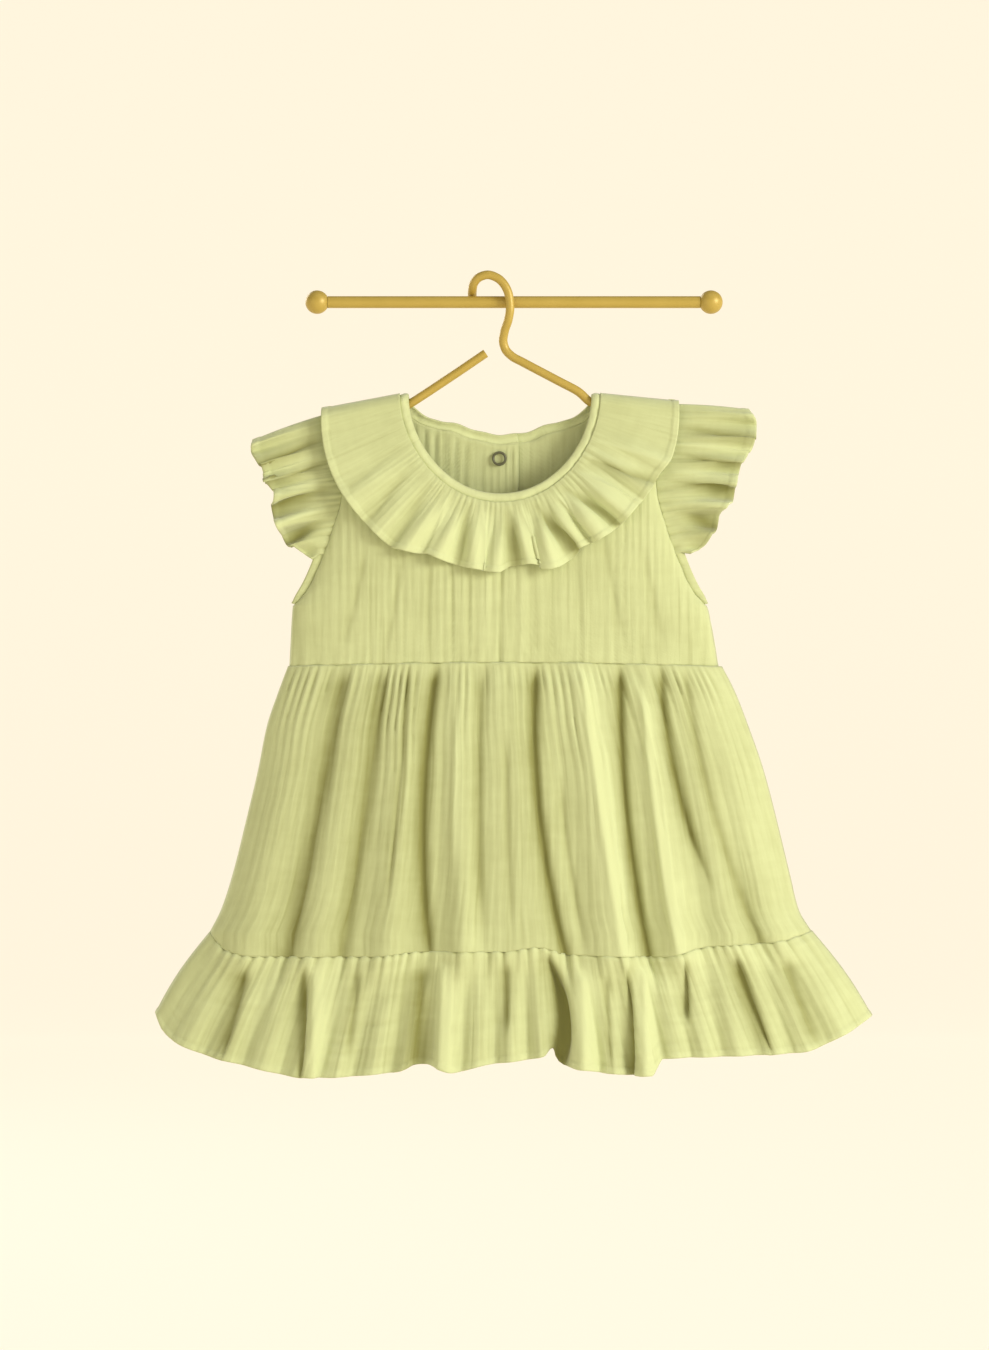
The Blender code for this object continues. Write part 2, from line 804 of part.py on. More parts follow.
def hem_place(side, folds, columns):
    sign = -1 if side == "front" else 1
    seam_left, seam_right = HEM_SEAM.column("x")[0], HEM_SEAM.column("x")[-1]
    tip_left, tip_right = HEM.column("x")[0], HEM.column("x")[-1]

    def place(across, down, step):
        top_x, low_x = mix(seam_left, seam_right, across), mix(tip_left, tip_right, across)
        top_z = HEM_SEAM.at("z", top_x) - SEAM_GAP
        low_z = HEM.at("z", low_x)
        bulge = 2.5 * math.sin(math.pi * down) * (2 * across - 1) ** 5
        x = mix(top_x, low_x, down) + bulge
        z = mix(top_z, low_z, down)
        turn = max(0.0, 1 - abs(2 * across - 1) ** 3) ** 0.5
        full = mix(HEM_SEAM_DEPTH, HEM_DEPTH, down) - (BACK_FLATTER if side == "back" else 0)
        depth = HALF_SEAM + (full - HALF_SEAM) * turn
        fade = rounded(min(across, 1 - across) / 0.04)
        ripple = 0.7 * gather(step, columns) * (1 - soft_step(down * 1.5))
        if 0.0 < across < 1.0:
            depth += fade * (folds(x, down) + ripple)
        return x, sign * depth, z

    return place


def skirt_columns(gathers):
    """Two steps to a gather, shared by the skirt and its ruffle so that their seam agrees."""
    return rounded_ends(2 * gathers, [0.006, 0.02])


def make_skirt(surface):
    front_columns, back_columns = skirt_columns(FRONT_GATHERS), skirt_columns(BACK_GATHERS)
    front_rows = [0, 0.04, 0.11, 0.21, 0.34, 0.48, 0.62, 0.76, 0.89, 1]
    back_rows = [0, 0.05, 0.14, 0.28, 0.45, 0.63, 0.82, 1]
    sheet("skirt_front", front_columns, front_rows,
          skirt_place("front", FRONT_SKIRT_FOLDS, len(front_columns)), -1, surface,
          lean=panel_lean)
    sheet("skirt_back", back_columns, back_rows,
          skirt_place("back", BACK_SKIRT_FOLDS, len(back_columns)), 1, surface,
          lean=panel_lean)


def make_hem_ruffle(surface):
    rows = [0, 0.15, 0.4, 0.7, 1]
    front_columns, back_columns = skirt_columns(FRONT_GATHERS), skirt_columns(BACK_GATHERS)

    def front_folds(x, down):
        return fold_height(FRONT_HEM_FOLDS, x, down)

    def back_folds(x, down):
        turns = (x - DRESS_MIDDLE) / mix(20.5, 24.0, down)
        height = mix(1.4, 5.6, soft_step(down)) * (0.8 + 0.2 * math.sin(2.3 * turns))
        return height * swell(abs(turns % 1 - 0.5) * 2)

    sheet("hem_ruffle_front", front_columns, rows,
          hem_place("front", front_folds, len(front_columns)), -1, surface, lean=panel_lean)
    sheet("hem_ruffle_back", back_columns, rows,
          hem_place("back", back_folds, len(back_columns)), 1, surface, lean=panel_lean)


# Ring snap


def make_snap(surface):
    ring_top = SNAP_Z + SNAP_RADIUS
    inside = bodice_depth("back", SNAP_X, ring_top) - WALL - 1.5 * SEAM_GAP - SNAP_WIRE
    bpy.ops.mesh.primitive_torus_add(
        major_segments=20, minor_segments=6, major_radius=SNAP_RADIUS * MM,
        minor_radius=SNAP_WIRE * MM, rotation=(math.pi / 2, 0, 0),
        location=(SNAP_X * MM, inside * MM, SNAP_Z * MM))
    adopt(bpy.context.object, "snap_ring", surface)
    cap_low = SNAP_Z - CAP_RADIUS
    outside = bodice_depth("back", SNAP_X, cap_low) + LAP_STEP + SEAM_GAP + CAP_HEIGHT / 2
    bpy.ops.mesh.primitive_cylinder_add(
        vertices=20, radius=CAP_RADIUS * MM, depth=CAP_HEIGHT * MM, rotation=(math.pi / 2, 0, 0),
        location=(SNAP_X * MM, outside * MM, SNAP_Z * MM))
    adopt(bpy.context.object, "snap_cap", surface)


def adopt(made, name, surface):
    """Moves an added primitive into the dress collection under its own name."""
    for holder in list(made.users_collection):
        holder.objects.unlink(made)
    dress.objects.link(made)
    made.name = name
    made.data.name = name
    made.data.materials.clear()
    made.data.materials.append(surface)
    made.data.shade_smooth()
    made.data.set_sharp_from_angle(angle=math.radians(40))
    return made


# Rod and hanger


def make_rod(surface):
    bpy.ops.mesh.primitive_cylinder_add(
        vertices=20, radius=ROD_RADIUS * MM, depth=2 * ROD_HALF_LENGTH * MM,
        rotation=(0, math.pi / 2, 0))
    adopt(bpy.context.object, "rod", surface)
    seat = ROD_HALF_LENGTH + SEAM_GAP
    for name, sign in (("rod_ball_left", -1), ("rod_ball_right", 1)):
        ball = bmesh.new()
        bmesh.ops.create_uvsphere(ball, u_segments=18, v_segments=10, radius=BALL_RADIUS * MM)
        flat = math.sqrt(BALL_RADIUS**2 - ROD_RADIUS**2)
        bmesh.ops.bisect_plane(
            ball, geom=ball.verts[:] + ball.edges[:] + ball.faces[:],
            plane_co=(-sign * flat * MM, 0, 0), plane_no=(-sign, 0, 0), clear_outer=True)
        bmesh.ops.holes_fill(ball, edges=[edge for edge in ball.edges if edge.is_boundary])
        bmesh.ops.recalc_face_normals(ball, faces=ball.faces[:])
        shape = bpy.data.meshes.new(name)
        ball.to_mesh(shape)
        ball.free()
        made = finish(shape, name, surface)
        made.location.x = sign * (seat + flat) * MM


def make_hanger(surface):
    """One bent wire: hook, right arm, lower bar inside the bodice and left arm."""
    path = bpy.data.curves.new("hanger", "CURVE")
    path.dimensions = "3D"
    path.bevel_depth = WIRE_RADIUS * MM
    path.bevel_resolution = 2
    path.use_fill_caps = True
    line = path.splines.new("POLY")
    per_row = 2
    last = HANGER_WIRE.rows[-1][0]
    places = []
    order = 1.0
    while order < last:
        places.append([HANGER_WIRE.at(axis, order) for axis in "xyz"])
        order += 1 / per_row
    places.append([HANGER_WIRE.at(axis, last) for axis in "xyz"])
    line.points.add(len(places) - 1)
    for point, place in zip(line.points, places):
        point.co = (*[value * MM for value in place], 1.0)
    made = bpy.data.objects.new("hanger", path)
    path.materials.append(surface)
    dress.objects.link(made)
    return made


for old in list(bpy.data.objects):
    bpy.data.objects.remove(old, do_unlink=True)

dress = bpy.data.collections.new("ruffle_dress")
bpy.context.scene.collection.children.link(dress)

muslin = material("muslin", (0.68, 0.70, 0.36), 0.9)
gold = material("gold paint", (0.62, 0.41, 0.07), 0.45, 0.3)
snap_paint = material("snap paint", (0.16, 0.16, 0.08), 0.4)

make_bodice(muslin)
make_neck_binding(muslin)
make_neck_ruffle(muslin)
make_sleeve("sleeve_left", "left", LEFT_SLEEVE, -1, muslin)
make_sleeve("sleeve_right", "right", RIGHT_SLEEVE, 1, muslin)
make_armhole_binding("armhole_binding_left", "left", -1, muslin)
make_armhole_binding("armhole_binding_right", "right", 1, muslin)
make_skirt(muslin)
make_hem_ruffle(muslin)
make_snap(snap_paint)
make_rod(gold)
make_hanger(gold)
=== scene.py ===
import math

import bpy
import numpy as np
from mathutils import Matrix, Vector


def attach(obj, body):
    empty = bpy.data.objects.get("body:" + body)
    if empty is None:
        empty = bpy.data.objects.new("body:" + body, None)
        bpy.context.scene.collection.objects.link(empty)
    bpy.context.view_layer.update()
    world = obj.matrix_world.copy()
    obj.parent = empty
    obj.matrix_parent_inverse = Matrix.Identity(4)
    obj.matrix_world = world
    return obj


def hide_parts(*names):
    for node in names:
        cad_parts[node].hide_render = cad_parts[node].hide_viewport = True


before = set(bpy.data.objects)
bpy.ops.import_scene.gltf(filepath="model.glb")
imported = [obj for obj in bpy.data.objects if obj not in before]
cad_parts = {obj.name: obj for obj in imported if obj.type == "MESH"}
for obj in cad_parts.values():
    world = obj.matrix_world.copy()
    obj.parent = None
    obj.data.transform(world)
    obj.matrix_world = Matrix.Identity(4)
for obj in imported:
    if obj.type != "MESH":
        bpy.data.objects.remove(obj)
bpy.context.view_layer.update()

# Sizes and places below are in millimetres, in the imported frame: the rod's middle is the origin
mm = 0.001

# The dress's own sizes
wall = 1.0
dressMiddle = -8.9
neckTop = -59.5
neckHalfWidth = 61.0
neckDrop = {"front": 65.5, "back": 27.0}
bindingWidth = 6.0
shoulderHalfWidth = 103.0
shoulderSlope = {"left": 0.22, "right": 0.13}
shoulderRadius = 5.0
armholeTop = -56.0
underarm = -193.0
armholeHalfGap = 5.0
underarmShare = 0.42
cornerShare = 0.58
waistHeight = -231.7
waistArch = 2.6
lapLeft = -20.0
lapRight = 3.0
lapStep = 2.2
ruffleReach = 113.0
ruffleDepth = 47.0
ruffleLift = 2.2
sleeveLow = -161.0
sleeveHalfDepth = 11.0
hemSeamDepth = 28.0
hemDepth = 33.0
backFlatter = 4.0
seamGap = 0.3


# Rows with named columns, read on a smooth curve through the first column
class Rows:
    def __init__(self, columns, *rows):
        self.names = columns.split()
        self.data = np.array(sorted(rows), float)

    def column(self, name):
        return self.data[:, self.names.index(name)]

    def at(self, name, key):
        keys, values = self.data[:, 0], self.column(name)
        slopes = np.diff(values) / np.diff(keys)
        tangents = np.zeros(len(keys))
        tangents[0], tangents[-1] = slopes[0], slopes[-1]
        both, total = slopes[:-1] * slopes[1:], slopes[:-1] + slopes[1:]
        rising = both > 0
        tangents[1:-1][rising] = 2 * both[rising] / total[rising]
        key = np.clip(key, keys[0], keys[-1])
        step = np.clip(np.searchsorted(keys, key), 1, len(keys) - 1)
        width = keys[step] - keys[step - 1]
        t = (key - keys[step - 1]) / width
        return (
            values[step - 1] * (2 * t**3 - 3 * t**2 + 1)
            + tangents[step - 1] * width * (t**3 - 2 * t**2 + t)
            + values[step] * (3 * t**2 - 2 * t**3)
            + tangents[step] * width * (t**3 - t**2)
        )


# Side edges of the bodice: armhole, underarm and side seam
bodiceEdges = Rows(
    "z left right",
    (-232, -142.5, 130), (-220, -142, 128), (-193.3, -140.5, 122.5), (-190, -137, 119),
    (-180.6, -130, 112), (-161, -121.2, 103.3), (-137.5, -112.9, 95), (-119.7, -108.5, 90.5),
    (-94, -107.5, 89.5), (-75, -111, 93.5), (-64, -112, 94.2),
)

# Side edges of the skirt
skirtEdges = Rows(
    "z left right",
    (-400.4, -193.5, 189.5), (-386, -186.2, 181), (-364, -179, 175.5), (-327.6, -169.9, 166.7),
    (-296.7, -162.6, 158.5), (-269.4, -157.1, 149), (-247.6, -149.8, 140.5),
    (-229, -142.8, 131),
)

# How far the cloth stands from the middle plane, and how square the section is at its sides
sections = Rows(
    "z front back squareness",
    (-480, 33, 29, 3), (-400, 28, 24, 3), (-330, 24, 21, 3), (-270, 20, 17.5, 3),
    (-245, 17.5, 15.5, 3), (-232, 15, 13, 3), (-190, 15, 13, 3.4), (-150, 14, 12, 5),
    (-110, 11.5, 10, 8), (-80, 8, 7.5, 12), (-60, 6, 6, 14),
)

# How far round the neck a share of the bodice's outline lies
neckTurn = Rows(
    "share turn",
    (0, 0), (0.22, 0.34), (0.42, 0.66), (0.58, 0.8), (1, 1),
)

# Seam between skirt and hem ruffle
hemSeam = Rows(
    "x z",
    (-193.5, -400.4), (-182.7, -411.3), (-164.4, -415), (-91.6, -414.6), (-55.2, -411.3),
    (-8.9, -411.3), (14.7, -408.6), (34.7, -413.2), (92.9, -414.6), (122.1, -408.6),
    (165.7, -405.9), (189.5, -399.6),
)

# Lower edge of the hem ruffle from its left tip to its right tip
hemEdge = Rows(
    "x z",
    (-228, -451.4), (-222.6, -462.3), (-209.9, -471.4), (-173.5, -482.3), (-128, -490.4),
    (-77, -486.9), (-56, -481.6), (-40, -487), (-18.8, -482.3), (18.4, -476.8),
    (25.6, -471.4), (31.1, -482.3), (63.8, -487.7), (85, -489), (94, -478.4),
    (136.6, -476.8), (180.3, -475), (209.4, -464.1), (227.6, -453.2),
)

# Scalloped outer edge of the neck ruffle, as the reach from the middle of the neck
ruffleEdge = Rows(
    "angle reach",
    (0, 113.3), (23, 115.8), (43, 117.5), (54, 118.7), (61, 114.4), (67.5, 111.2), (80, 111.7),
    (89, 112.7), (94, 109), (99, 108.8), (107, 115.4), (114, 113.4), (117, 110), (129, 112.3),
    (153, 112.2), (161, 115.2), (180, 113.5),
)

# Outer edge of each sleeve from its ridge to its lower end
leftSleeve = Rows(
    "down x z",
    (0, -166, -87.6), (0.12, -167, -95), (0.24, -159.5, -106), (0.38, -158.5, -115.5),
    (0.5, -152, -122), (0.62, -153, -135), (0.78, -147.5, -148.5), (0.9, -139.5, -156),
    (1, -128.5, -163),
)

rightSleeve = Rows(
    "down x z",
    (0, 149, -68), (0.12, 154, -78), (0.25, 152, -91), (0.38, 144.5, -103.3),
    (0.52, 141.5, -114), (0.66, 138.5, -127), (0.76, 131.5, -134), (0.86, 127, -145),
    (0.94, 121, -155), (1, 113, -159),
)

# Large folds: a ridge from its place at the upper seam to its place at the lower edge
frontSkirtFolds = Rows(
    "top hem half height",
    (-126, -172, 17, 4.5), (-96, -127, 16, 4.5), (-66, -80, 15, 5.5), (-33, -33, 15, 6),
    (-6, 3, 15, 5), (38, 62, 15, 7.5), (80, 104, 13, 5.5), (104, 138, 13, 4.5),
    (119, 168, 12, 4),
)

backSkirtFolds = Rows(
    "top hem half height",
    (-120, -166, 17, 5), (-88, -120, 15, 5), (-58, -76, 16, 6), (-22, -30, 15, 6),
    (10, 14, 15, 5), (44, 60, 15, 6.5), (78, 104, 14, 5), (110, 152, 15, 5),
)

frontHemFolds = Rows(
    "top hem half height",
    (-181, -209, 12, 4.5), (-160, -184, 12, 5.5), (-138, -160, 12, 5), (-116, -135, 12, 6.5),
    (-94, -113, 11, 5), (-74, -90, 11, 5.5), (-56, -68, 10, 5), (-38, -44, 11, 7),
    (-20, -24, 10, 5), (-2, -2, 11, 6), (13, 17, 8, 5), (35, 43, 11, 8.5), (53, 63, 10, 6),
    (71, 82, 11, 8.5), (91, 102, 10, 4.5), (108, 121, 10, 5), (126, 142, 11, 6),
    (144, 163, 11, 5.5), (161, 185, 11, 5), (176, 208, 11, 4.5),
)

# Flutes of the neck ruffle, by their angle round the neck
frontRuffleFolds = Rows(
    "angle half height",
    (16, 10, 1.5), (34, 9, 2), (48, 7.5, 2.5), (59, 5.8, 4), (70, 5.5, 5), (80, 5.2, 4.5),
    (90, 5.2, 5), (99, 4.8, 4.5), (108, 5, 6.5), (117, 4.8, 5.5), (126, 4.8, 5.5),
    (136, 5.4, 6.5), (148, 6, 6), (159.5, 5.8, 5), (170, 5, 2.5),
)


def mix(start, end, share):
    return start + (end - start) * share


def softStep(share):
    share = np.clip(share, 0.0, 1.0)
    return share * share * (3 - 2 * share)


def fromSide(across):
    return np.minimum(across, 1 - across)


# Quarter of a circle that rises from 0 to 1 with an upright start
def rounded(share):
    share = np.clip(share, 0.0, 1.0)
    return np.sqrt(1 - (1 - share) ** 2)


# Smooth bump of height 1 that ends where gap is 1
def swell(gap):
    return 0.5 + 0.5 * np.cos(math.pi * np.clip(gap, 0.0, 1.0))


# Soft random heights from 0 to 1, one for each unit cell
def grain(u, v, seed):
    lattice = np.random.default_rng(seed).random((128, 128))
    iu, iv = np.floor(u).astype(int), np.floor(v).astype(int)
    fu, fv = softStep(u - iu), softStep(v - iv)
    low = mix(lattice[iu % 128, iv % 128], lattice[(iu + 1) % 128, iv % 128], fu)
    high = mix(lattice[iu % 128, (iv + 1) % 128], lattice[(iu + 1) % 128, (iv + 1) % 128], fu)
    return mix(low, high, fv)


# Rounded ridges with narrow troughs between them, one to each unit of phase
def pleats(phase, sharp=0.75):
    return np.abs(np.sin(math.pi * phase)) ** sharp - 0.62


# Lengthwise lines of the crinkled muslin, uneven in length, depth and spacing
def crinkle(u, v, seed, depth, sway=1.0):
    drift = sway * grain(u / 45, v / 70, seed + 1) + 1.1 * grain(u / 17, v / 900, seed + 4)
    strength = 0.25 + 0.75 * grain(u / 9, v / 60, seed + 2)
    second = 0.2 + 0.8 * grain(u / 5, v / 35, seed + 3)
    broad = pleats(u / 5.2 + drift, 0.9)
    fine = pleats(u / 2.7 + 2 * drift, 0.9)
    return depth * (strength * broad + 0.4 * second * fine)


# Small gathers below a seam: uneven pleats, each of its own length, that fade away from it
def gathers(u, away, seed, pitch, height, reach):
    drift = 2.1 * grain(u / (3.2 * pitch), 0 * u, seed + 1)
    drift = drift + 0.7 * grain(u / 30, away / 80, seed + 2)
    phase = u / pitch + drift
    which = np.floor(phase)
    length = reach * (0.45 + 2.1 * grain(which * 7.31, 0 * u + 0.5, seed + 3) ** 3)
    tall = 0.3 + 0.95 * grain(which * 3.77, 0 * u + 0.5, seed + 5)
    return height * tall * pleats(phase) * np.exp(-away / length)


# Troughs or ridges along given lines: rows of top, middle and low place, width, height, start
# and end. Each has a steep and a gentle side, and lean says which way round
def creases(x, down, table, lean=1):
    total = np.zeros_like(x)
    for top, middle, low, width, height, start, end in table:
        bend = 4 * (middle - (top + low) / 2)
        line = mix(top, low, down) + bend * down * (1 - down)
        ramp = 0.08 + 0.02 * np.abs(width)
        reach = softStep((down - start) / ramp) * softStep((end - down) / (1.4 * ramp))
        steep = lean * (line - x) * height > 0
        half = 0.5 * width * np.where(steep, 0.62, 1.35)
        total += height * reach / (1 + ((x - line) / half) ** 2)
    return total


# Height of the shoulder's ridge
def shoulder(x):
    out = np.abs(x - dressMiddle) - neckHalfWidth
    slope = np.where(x < dressMiddle, shoulderSlope["left"], shoulderSlope["right"])
    return neckTop - slope * out


def waistLine(x):
    side = (x - dressMiddle) / (bodiceEdges.at("right", waistHeight) - dressMiddle)
    return waistHeight + waistArch * np.maximum(0.0, 1 - side * side)


# Half the gap between the edges of front and back at the armhole
def armholeGap(z):
    share = np.clip((z - underarm) / (armholeTop - underarm), 0.0, 1.0)
    return armholeHalfGap * np.sin(math.pi * share) ** 0.6


# How far the plain cloth stands from the middle plane, between two side edges
def bodyDepth(side, x, z, edges, edgeGap):
    left, right = edges.at("left", z), edges.at("right", z)
    across = np.abs(2 * (x - left) / (right - left) - 1)
    turn = np.maximum(0.0, 1 - across ** sections.at("squareness", z)) ** 0.5
    return edgeGap + (sections.at(side, z) - edgeGap) * turn


def closeOverShoulder(depth, x, z, lift):
    drop = shoulder(x) + lift - z
    return depth * rounded(drop / (shoulderRadius + lift))


# Brings a line round the neck onto the sloping shoulder ridge where it crosses it
def ridgeShift(x, angle, lift):
    return (shoulder(x) - neckTop + lift) * np.cos(np.radians(angle)) ** 4


# The back neck isn't an even curve: its gathers push it up on both sides of the opening
def neckPull(angle):
    left = 3.4 * swell(np.abs(angle - 62) / 26)
    right = 2.4 * swell(np.abs(angle - 122) / 22)
    return left + right + 0.45 * np.sin(np.radians(19 * angle)) * np.sin(np.radians(angle)) ** 2


def neckPlace(side, angle, out):
    turn = np.radians(angle)
    x = dressMiddle - (neckHalfWidth + out) * np.cos(turn)
    z = neckTop - (neckDrop[side] + out) * np.sin(turn)
    z = z + (neckPull(angle) if side == "back" else 0.0)
    return x, z + ridgeShift(x, angle, 0.0)


def lapOver(x):
    return lapStep * softStep((lapRight + 22 - x) / 18)


# A share of the bodice's outline: down the armhole and side seam, then along the waist to endX
def bodiceOutline(edgeName, share, endX):
    sign = -1 if edgeName == "left" else 1
    tipZ = shoulder(dressMiddle + sign * shoulderHalfWidth)
    cornerX = bodiceEdges.at(edgeName, waistHeight)
    armZ = mix(tipZ, underarm, np.clip(share / underarmShare, 0, 1) ** 1.3)
    sideZ = mix(underarm, waistLine(cornerX), (share - underarmShare) / (cornerShare - underarmShare))
    z = np.where(share < underarmShare, armZ, sideZ)
    x = bodiceEdges.at(edgeName, z)
    lowX = mix(cornerX, endX, (share - cornerShare) / (1 - cornerShare))
    low = share >= cornerShare
    return np.where(low, lowX, x), np.where(low, waistLine(lowX), z)


def bodicePlace(side, edgeName, share, down, endX):
    band = bindingWidth / 2
    endAngle = math.degrees(math.acos((dressMiddle - endX) / (neckHalfWidth + band)))
    turn = neckTurn.at("turn", share)
    angle = turn * endAngle if edgeName == "left" else 180 - turn * (180 - endAngle)
    neckX, neckZ = neckPlace(side, angle, band)
    outX, outZ = bodiceOutline(edgeName, share, endX)
    # The back's grid lines bend beside the armhole, so that none of its narrow cells folds
    nearArmhole = softStep((share - 0.1) / 0.2) * (1 - softStep((share - underarmShare) / 0.16))
    bent = 0.3 * nearArmhole * down * (1 - down) if side == "back" else 0.0
    return mix(neckX, outX, down), mix(neckZ, outZ, down + bent)


def bodiceDepth(side, x, z):
    depth = bodyDepth(side, x, z, bodiceEdges, armholeGap(z))
    return closeOverShoulder(depth, x, z, 0.0)


# Height of the large folds, which spread with the cloth and fade towards the upper seam
def foldHeight(folds, x, down):
    total = np.zeros_like(x)
    for top, hem, half, height in folds.data:
        line = mix(top, hem, down)
        spread = half * mix(1.0, (hem - dressMiddle) / (top - dressMiddle), down)
        total += height * mix(0.25, 1.0, softStep(down)) * swell(np.abs(x - line) / spread)
    return total


def add(name, data):
    made = bpy.data.objects.new(name, data)
    bpy.context.scene.collection.objects.link(made)
    return made


def deselect():
    bpy.ops.object.select_all(action="DESELECT")


def pick(made):
    deselect()
    made.select_set(True)
    bpy.context.view_layer.objects.active = made


# Fine cloth grid bent through place(across, down), with small creases along its normal
def clothSheet(name, columns, rows, place, face, detail,
               thickness=wall, straight=False, over=None):
    across, down = np.meshgrid(
        np.linspace(0, 1, columns + 1), np.linspace(0, 1, rows + 1), indexing="ij")
    points = np.stack(place(across, down), axis=-1)
    along, below = np.gradient(points, axis=0), np.gradient(points, axis=1)
    normals = np.cross(along, below) * face
    normals /= np.maximum(np.linalg.norm(normals, axis=-1, keepdims=True), 1e-9)
    lengthAcross = np.linalg.norm(np.diff(points, axis=0), axis=-1).sum(axis=0).mean()
    u = across * lengthAcross
    v = np.concatenate(
        [np.zeros((columns + 1, 1)),
         np.cumsum(np.linalg.norm(np.diff(points, axis=1), axis=-1), axis=1)], axis=1)
    height = detail(points[..., 0], points[..., 2], u, v, across, down)
    points = points + normals * height[..., None]
    # A piece that lies over another stays outside it, with a soft turn where they meet
    if over:
        softTurn = 0.8
        lowest = over(points[..., 0], points[..., 2])
        facing = -1 if points[..., 1].mean() < 0 else 1
        gap = facing * points[..., 1] - lowest
        points[..., 1] = facing * (lowest + 0.5 * (gap + np.sqrt(gap * gap + softTurn)))

    shape = bpy.data.meshes.new(name)
    index = np.arange((columns + 1) * (rows + 1)).reshape(columns + 1, rows + 1)
    corners = [index[:-1, :-1], index[:-1, 1:], index[1:, 1:], index[1:, :-1]]
    if face > 0:
        corners = [corners[0], corners[3], corners[2], corners[1]]
    faces = np.stack([corner.ravel() for corner in corners], axis=-1)
    shape.from_pydata((points.reshape(-1, 3) * mm).tolist(), [], faces.tolist())
    layer = shape.uv_layers.new(name="cloth")
    thread = (points[..., 0], points[..., 2]) if straight else (u, v)
    flat = np.stack(thread, axis=-1).reshape(-1, 2) * mm
    layer.data.foreach_set("uv", flat[faces.ravel()].ravel())
    # Crease height for the cloth's colour, which paints shade in the troughs and light on the ridges
    crease = shape.attributes.new("crease", "FLOAT", "POINT")
    crease.data.foreach_set("value", height.ravel().astype(np.float32))
    shape.materials.append(cloth)
    shape.shade_smooth()
    made = add(name, shape)
    pick(made)
    shell = made.modifiers.new("wall", "SOLIDIFY")
    shell.thickness = thickness * mm
    shell.offset = -1.0
    bpy.ops.object.modifier_apply(modifier=shell.name)
    print(name, len(made.data.polygons) * 2, "triangles")
    return made


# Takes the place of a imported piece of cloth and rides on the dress's body
def wear(made, node):
    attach(made, "root")
    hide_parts(node)


# Wraps one socket of a shader tree, so that formulas read as plain expressions
class Value:
    def __init__(self, tree, socket=None):
        self.tree = tree
        self.socket = socket

    # Gives a node's sockets their values or links
    def fill(self, node, sockets):
        for key, value in sockets.items():
            if isinstance(value, Value):
                self.tree.links.new(value.socket, node.inputs[key])
            else:
                node.inputs[key].default_value = value

    # Adds any node by its type, settings and sockets, and gives its outputs
    def node(self, kind, settings, sockets):
        made = self.tree.nodes.new(kind)
        for key, value in settings.items():
            setattr(made, key, value)
        self.fill(made, sockets)
        return [Value(self.tree, socket) for socket in made.outputs]

    def maths(self, kind, *values):
        return self.node("ShaderNodeMath", {"operation": kind}, dict(enumerate(values)))[0]

    def __add__(self, other):
        return self.maths("ADD", self, other)

    def __radd__(self, other):
        return self.maths("ADD", other, self)

    def __sub__(self, other):
        return self.maths("SUBTRACT", self, other)

    def __rsub__(self, other):
        return self.maths("SUBTRACT", other, self)

    def __mul__(self, other):
        return self.maths("MULTIPLY", self, other)

    def __rmul__(self, other):
        return self.maths("MULTIPLY", other, self)

    def wave(self):
        return self.maths("SINE", self)

    def clamped(self):
        return self.node("ShaderNodeClamp", {}, {0: self})[0]

    # Noise over this place, stretched along each axis
    def noise(self, scale, detail, stretch=(1.0, 1.0, 1.0)):
        placed = self.node("ShaderNodeMapping", {}, {"Vector": self, "Scale": stretch})[0]
        sockets = {"Vector": placed, "Scale": scale, "Detail": detail}
        return self.node("ShaderNodeTexNoise", {}, sockets)[0]

    # The colour that lies this share of the way from low to high; 6, 7 and 2 are the colours
    def blend(self, low, high):
        sockets = {0: self, 6: (*low, 1.0), 7: (*high, 1.0)}
        return self.node("ShaderNodeMix", {"data_type": "RGBA"}, sockets)[2]

    def bump(self, strength, distance):
        sockets = {"Strength": strength, "Distance": distance, "Height": self}
        return self.node("ShaderNodeBump", {}, sockets)[0]


# A new material, the start of its formulas and its Principled shader
def surface(name, colour, roughness):
    made = bpy.data.materials.new(name)
    made.use_nodes = True
    shader = made.node_tree.nodes["Principled BSDF"]
    start = Value(made.node_tree)
    start.fill(shader, {"Base Color": (*colour, 1.0), "Roughness": roughness})
    return made, start, shader


# Muslin: pale lime, with painted shade that makes it deeper and greener in the fold troughs, painted
# light on the ridges, painted shade along its crinkle lines and hairlines, and an open weave. Each
# kind of noise has its scale, its detail and how far it is stretched
muslin = {
    # Painted shade of the fold troughs, and the cloth's colour, which painted light brings out on the
    # crests
    "paintedFoldShade": (0.26, 0.26, 0.07),
    "clothAndCrestLight": (0.635, 0.68, 0.345),
    "roughness": 0.92,
    "sheen": 0.25,
    "sheenRoughness": 0.5,
    "thread": 0.00062,
    "slub": (900.0, 2.0),
    "lines": (420.0, 3.0, (1.0, 0.09, 1.0)),
    "patches": (22.0, 2.0),
    "crumple": (150.0, 2.0, (0.4, 1.0, 1.0)),
    "pins": (260.0, 1.0, (1.0, 0.03, 1.0)),
    "bump": (0.55, 0.0007),
}


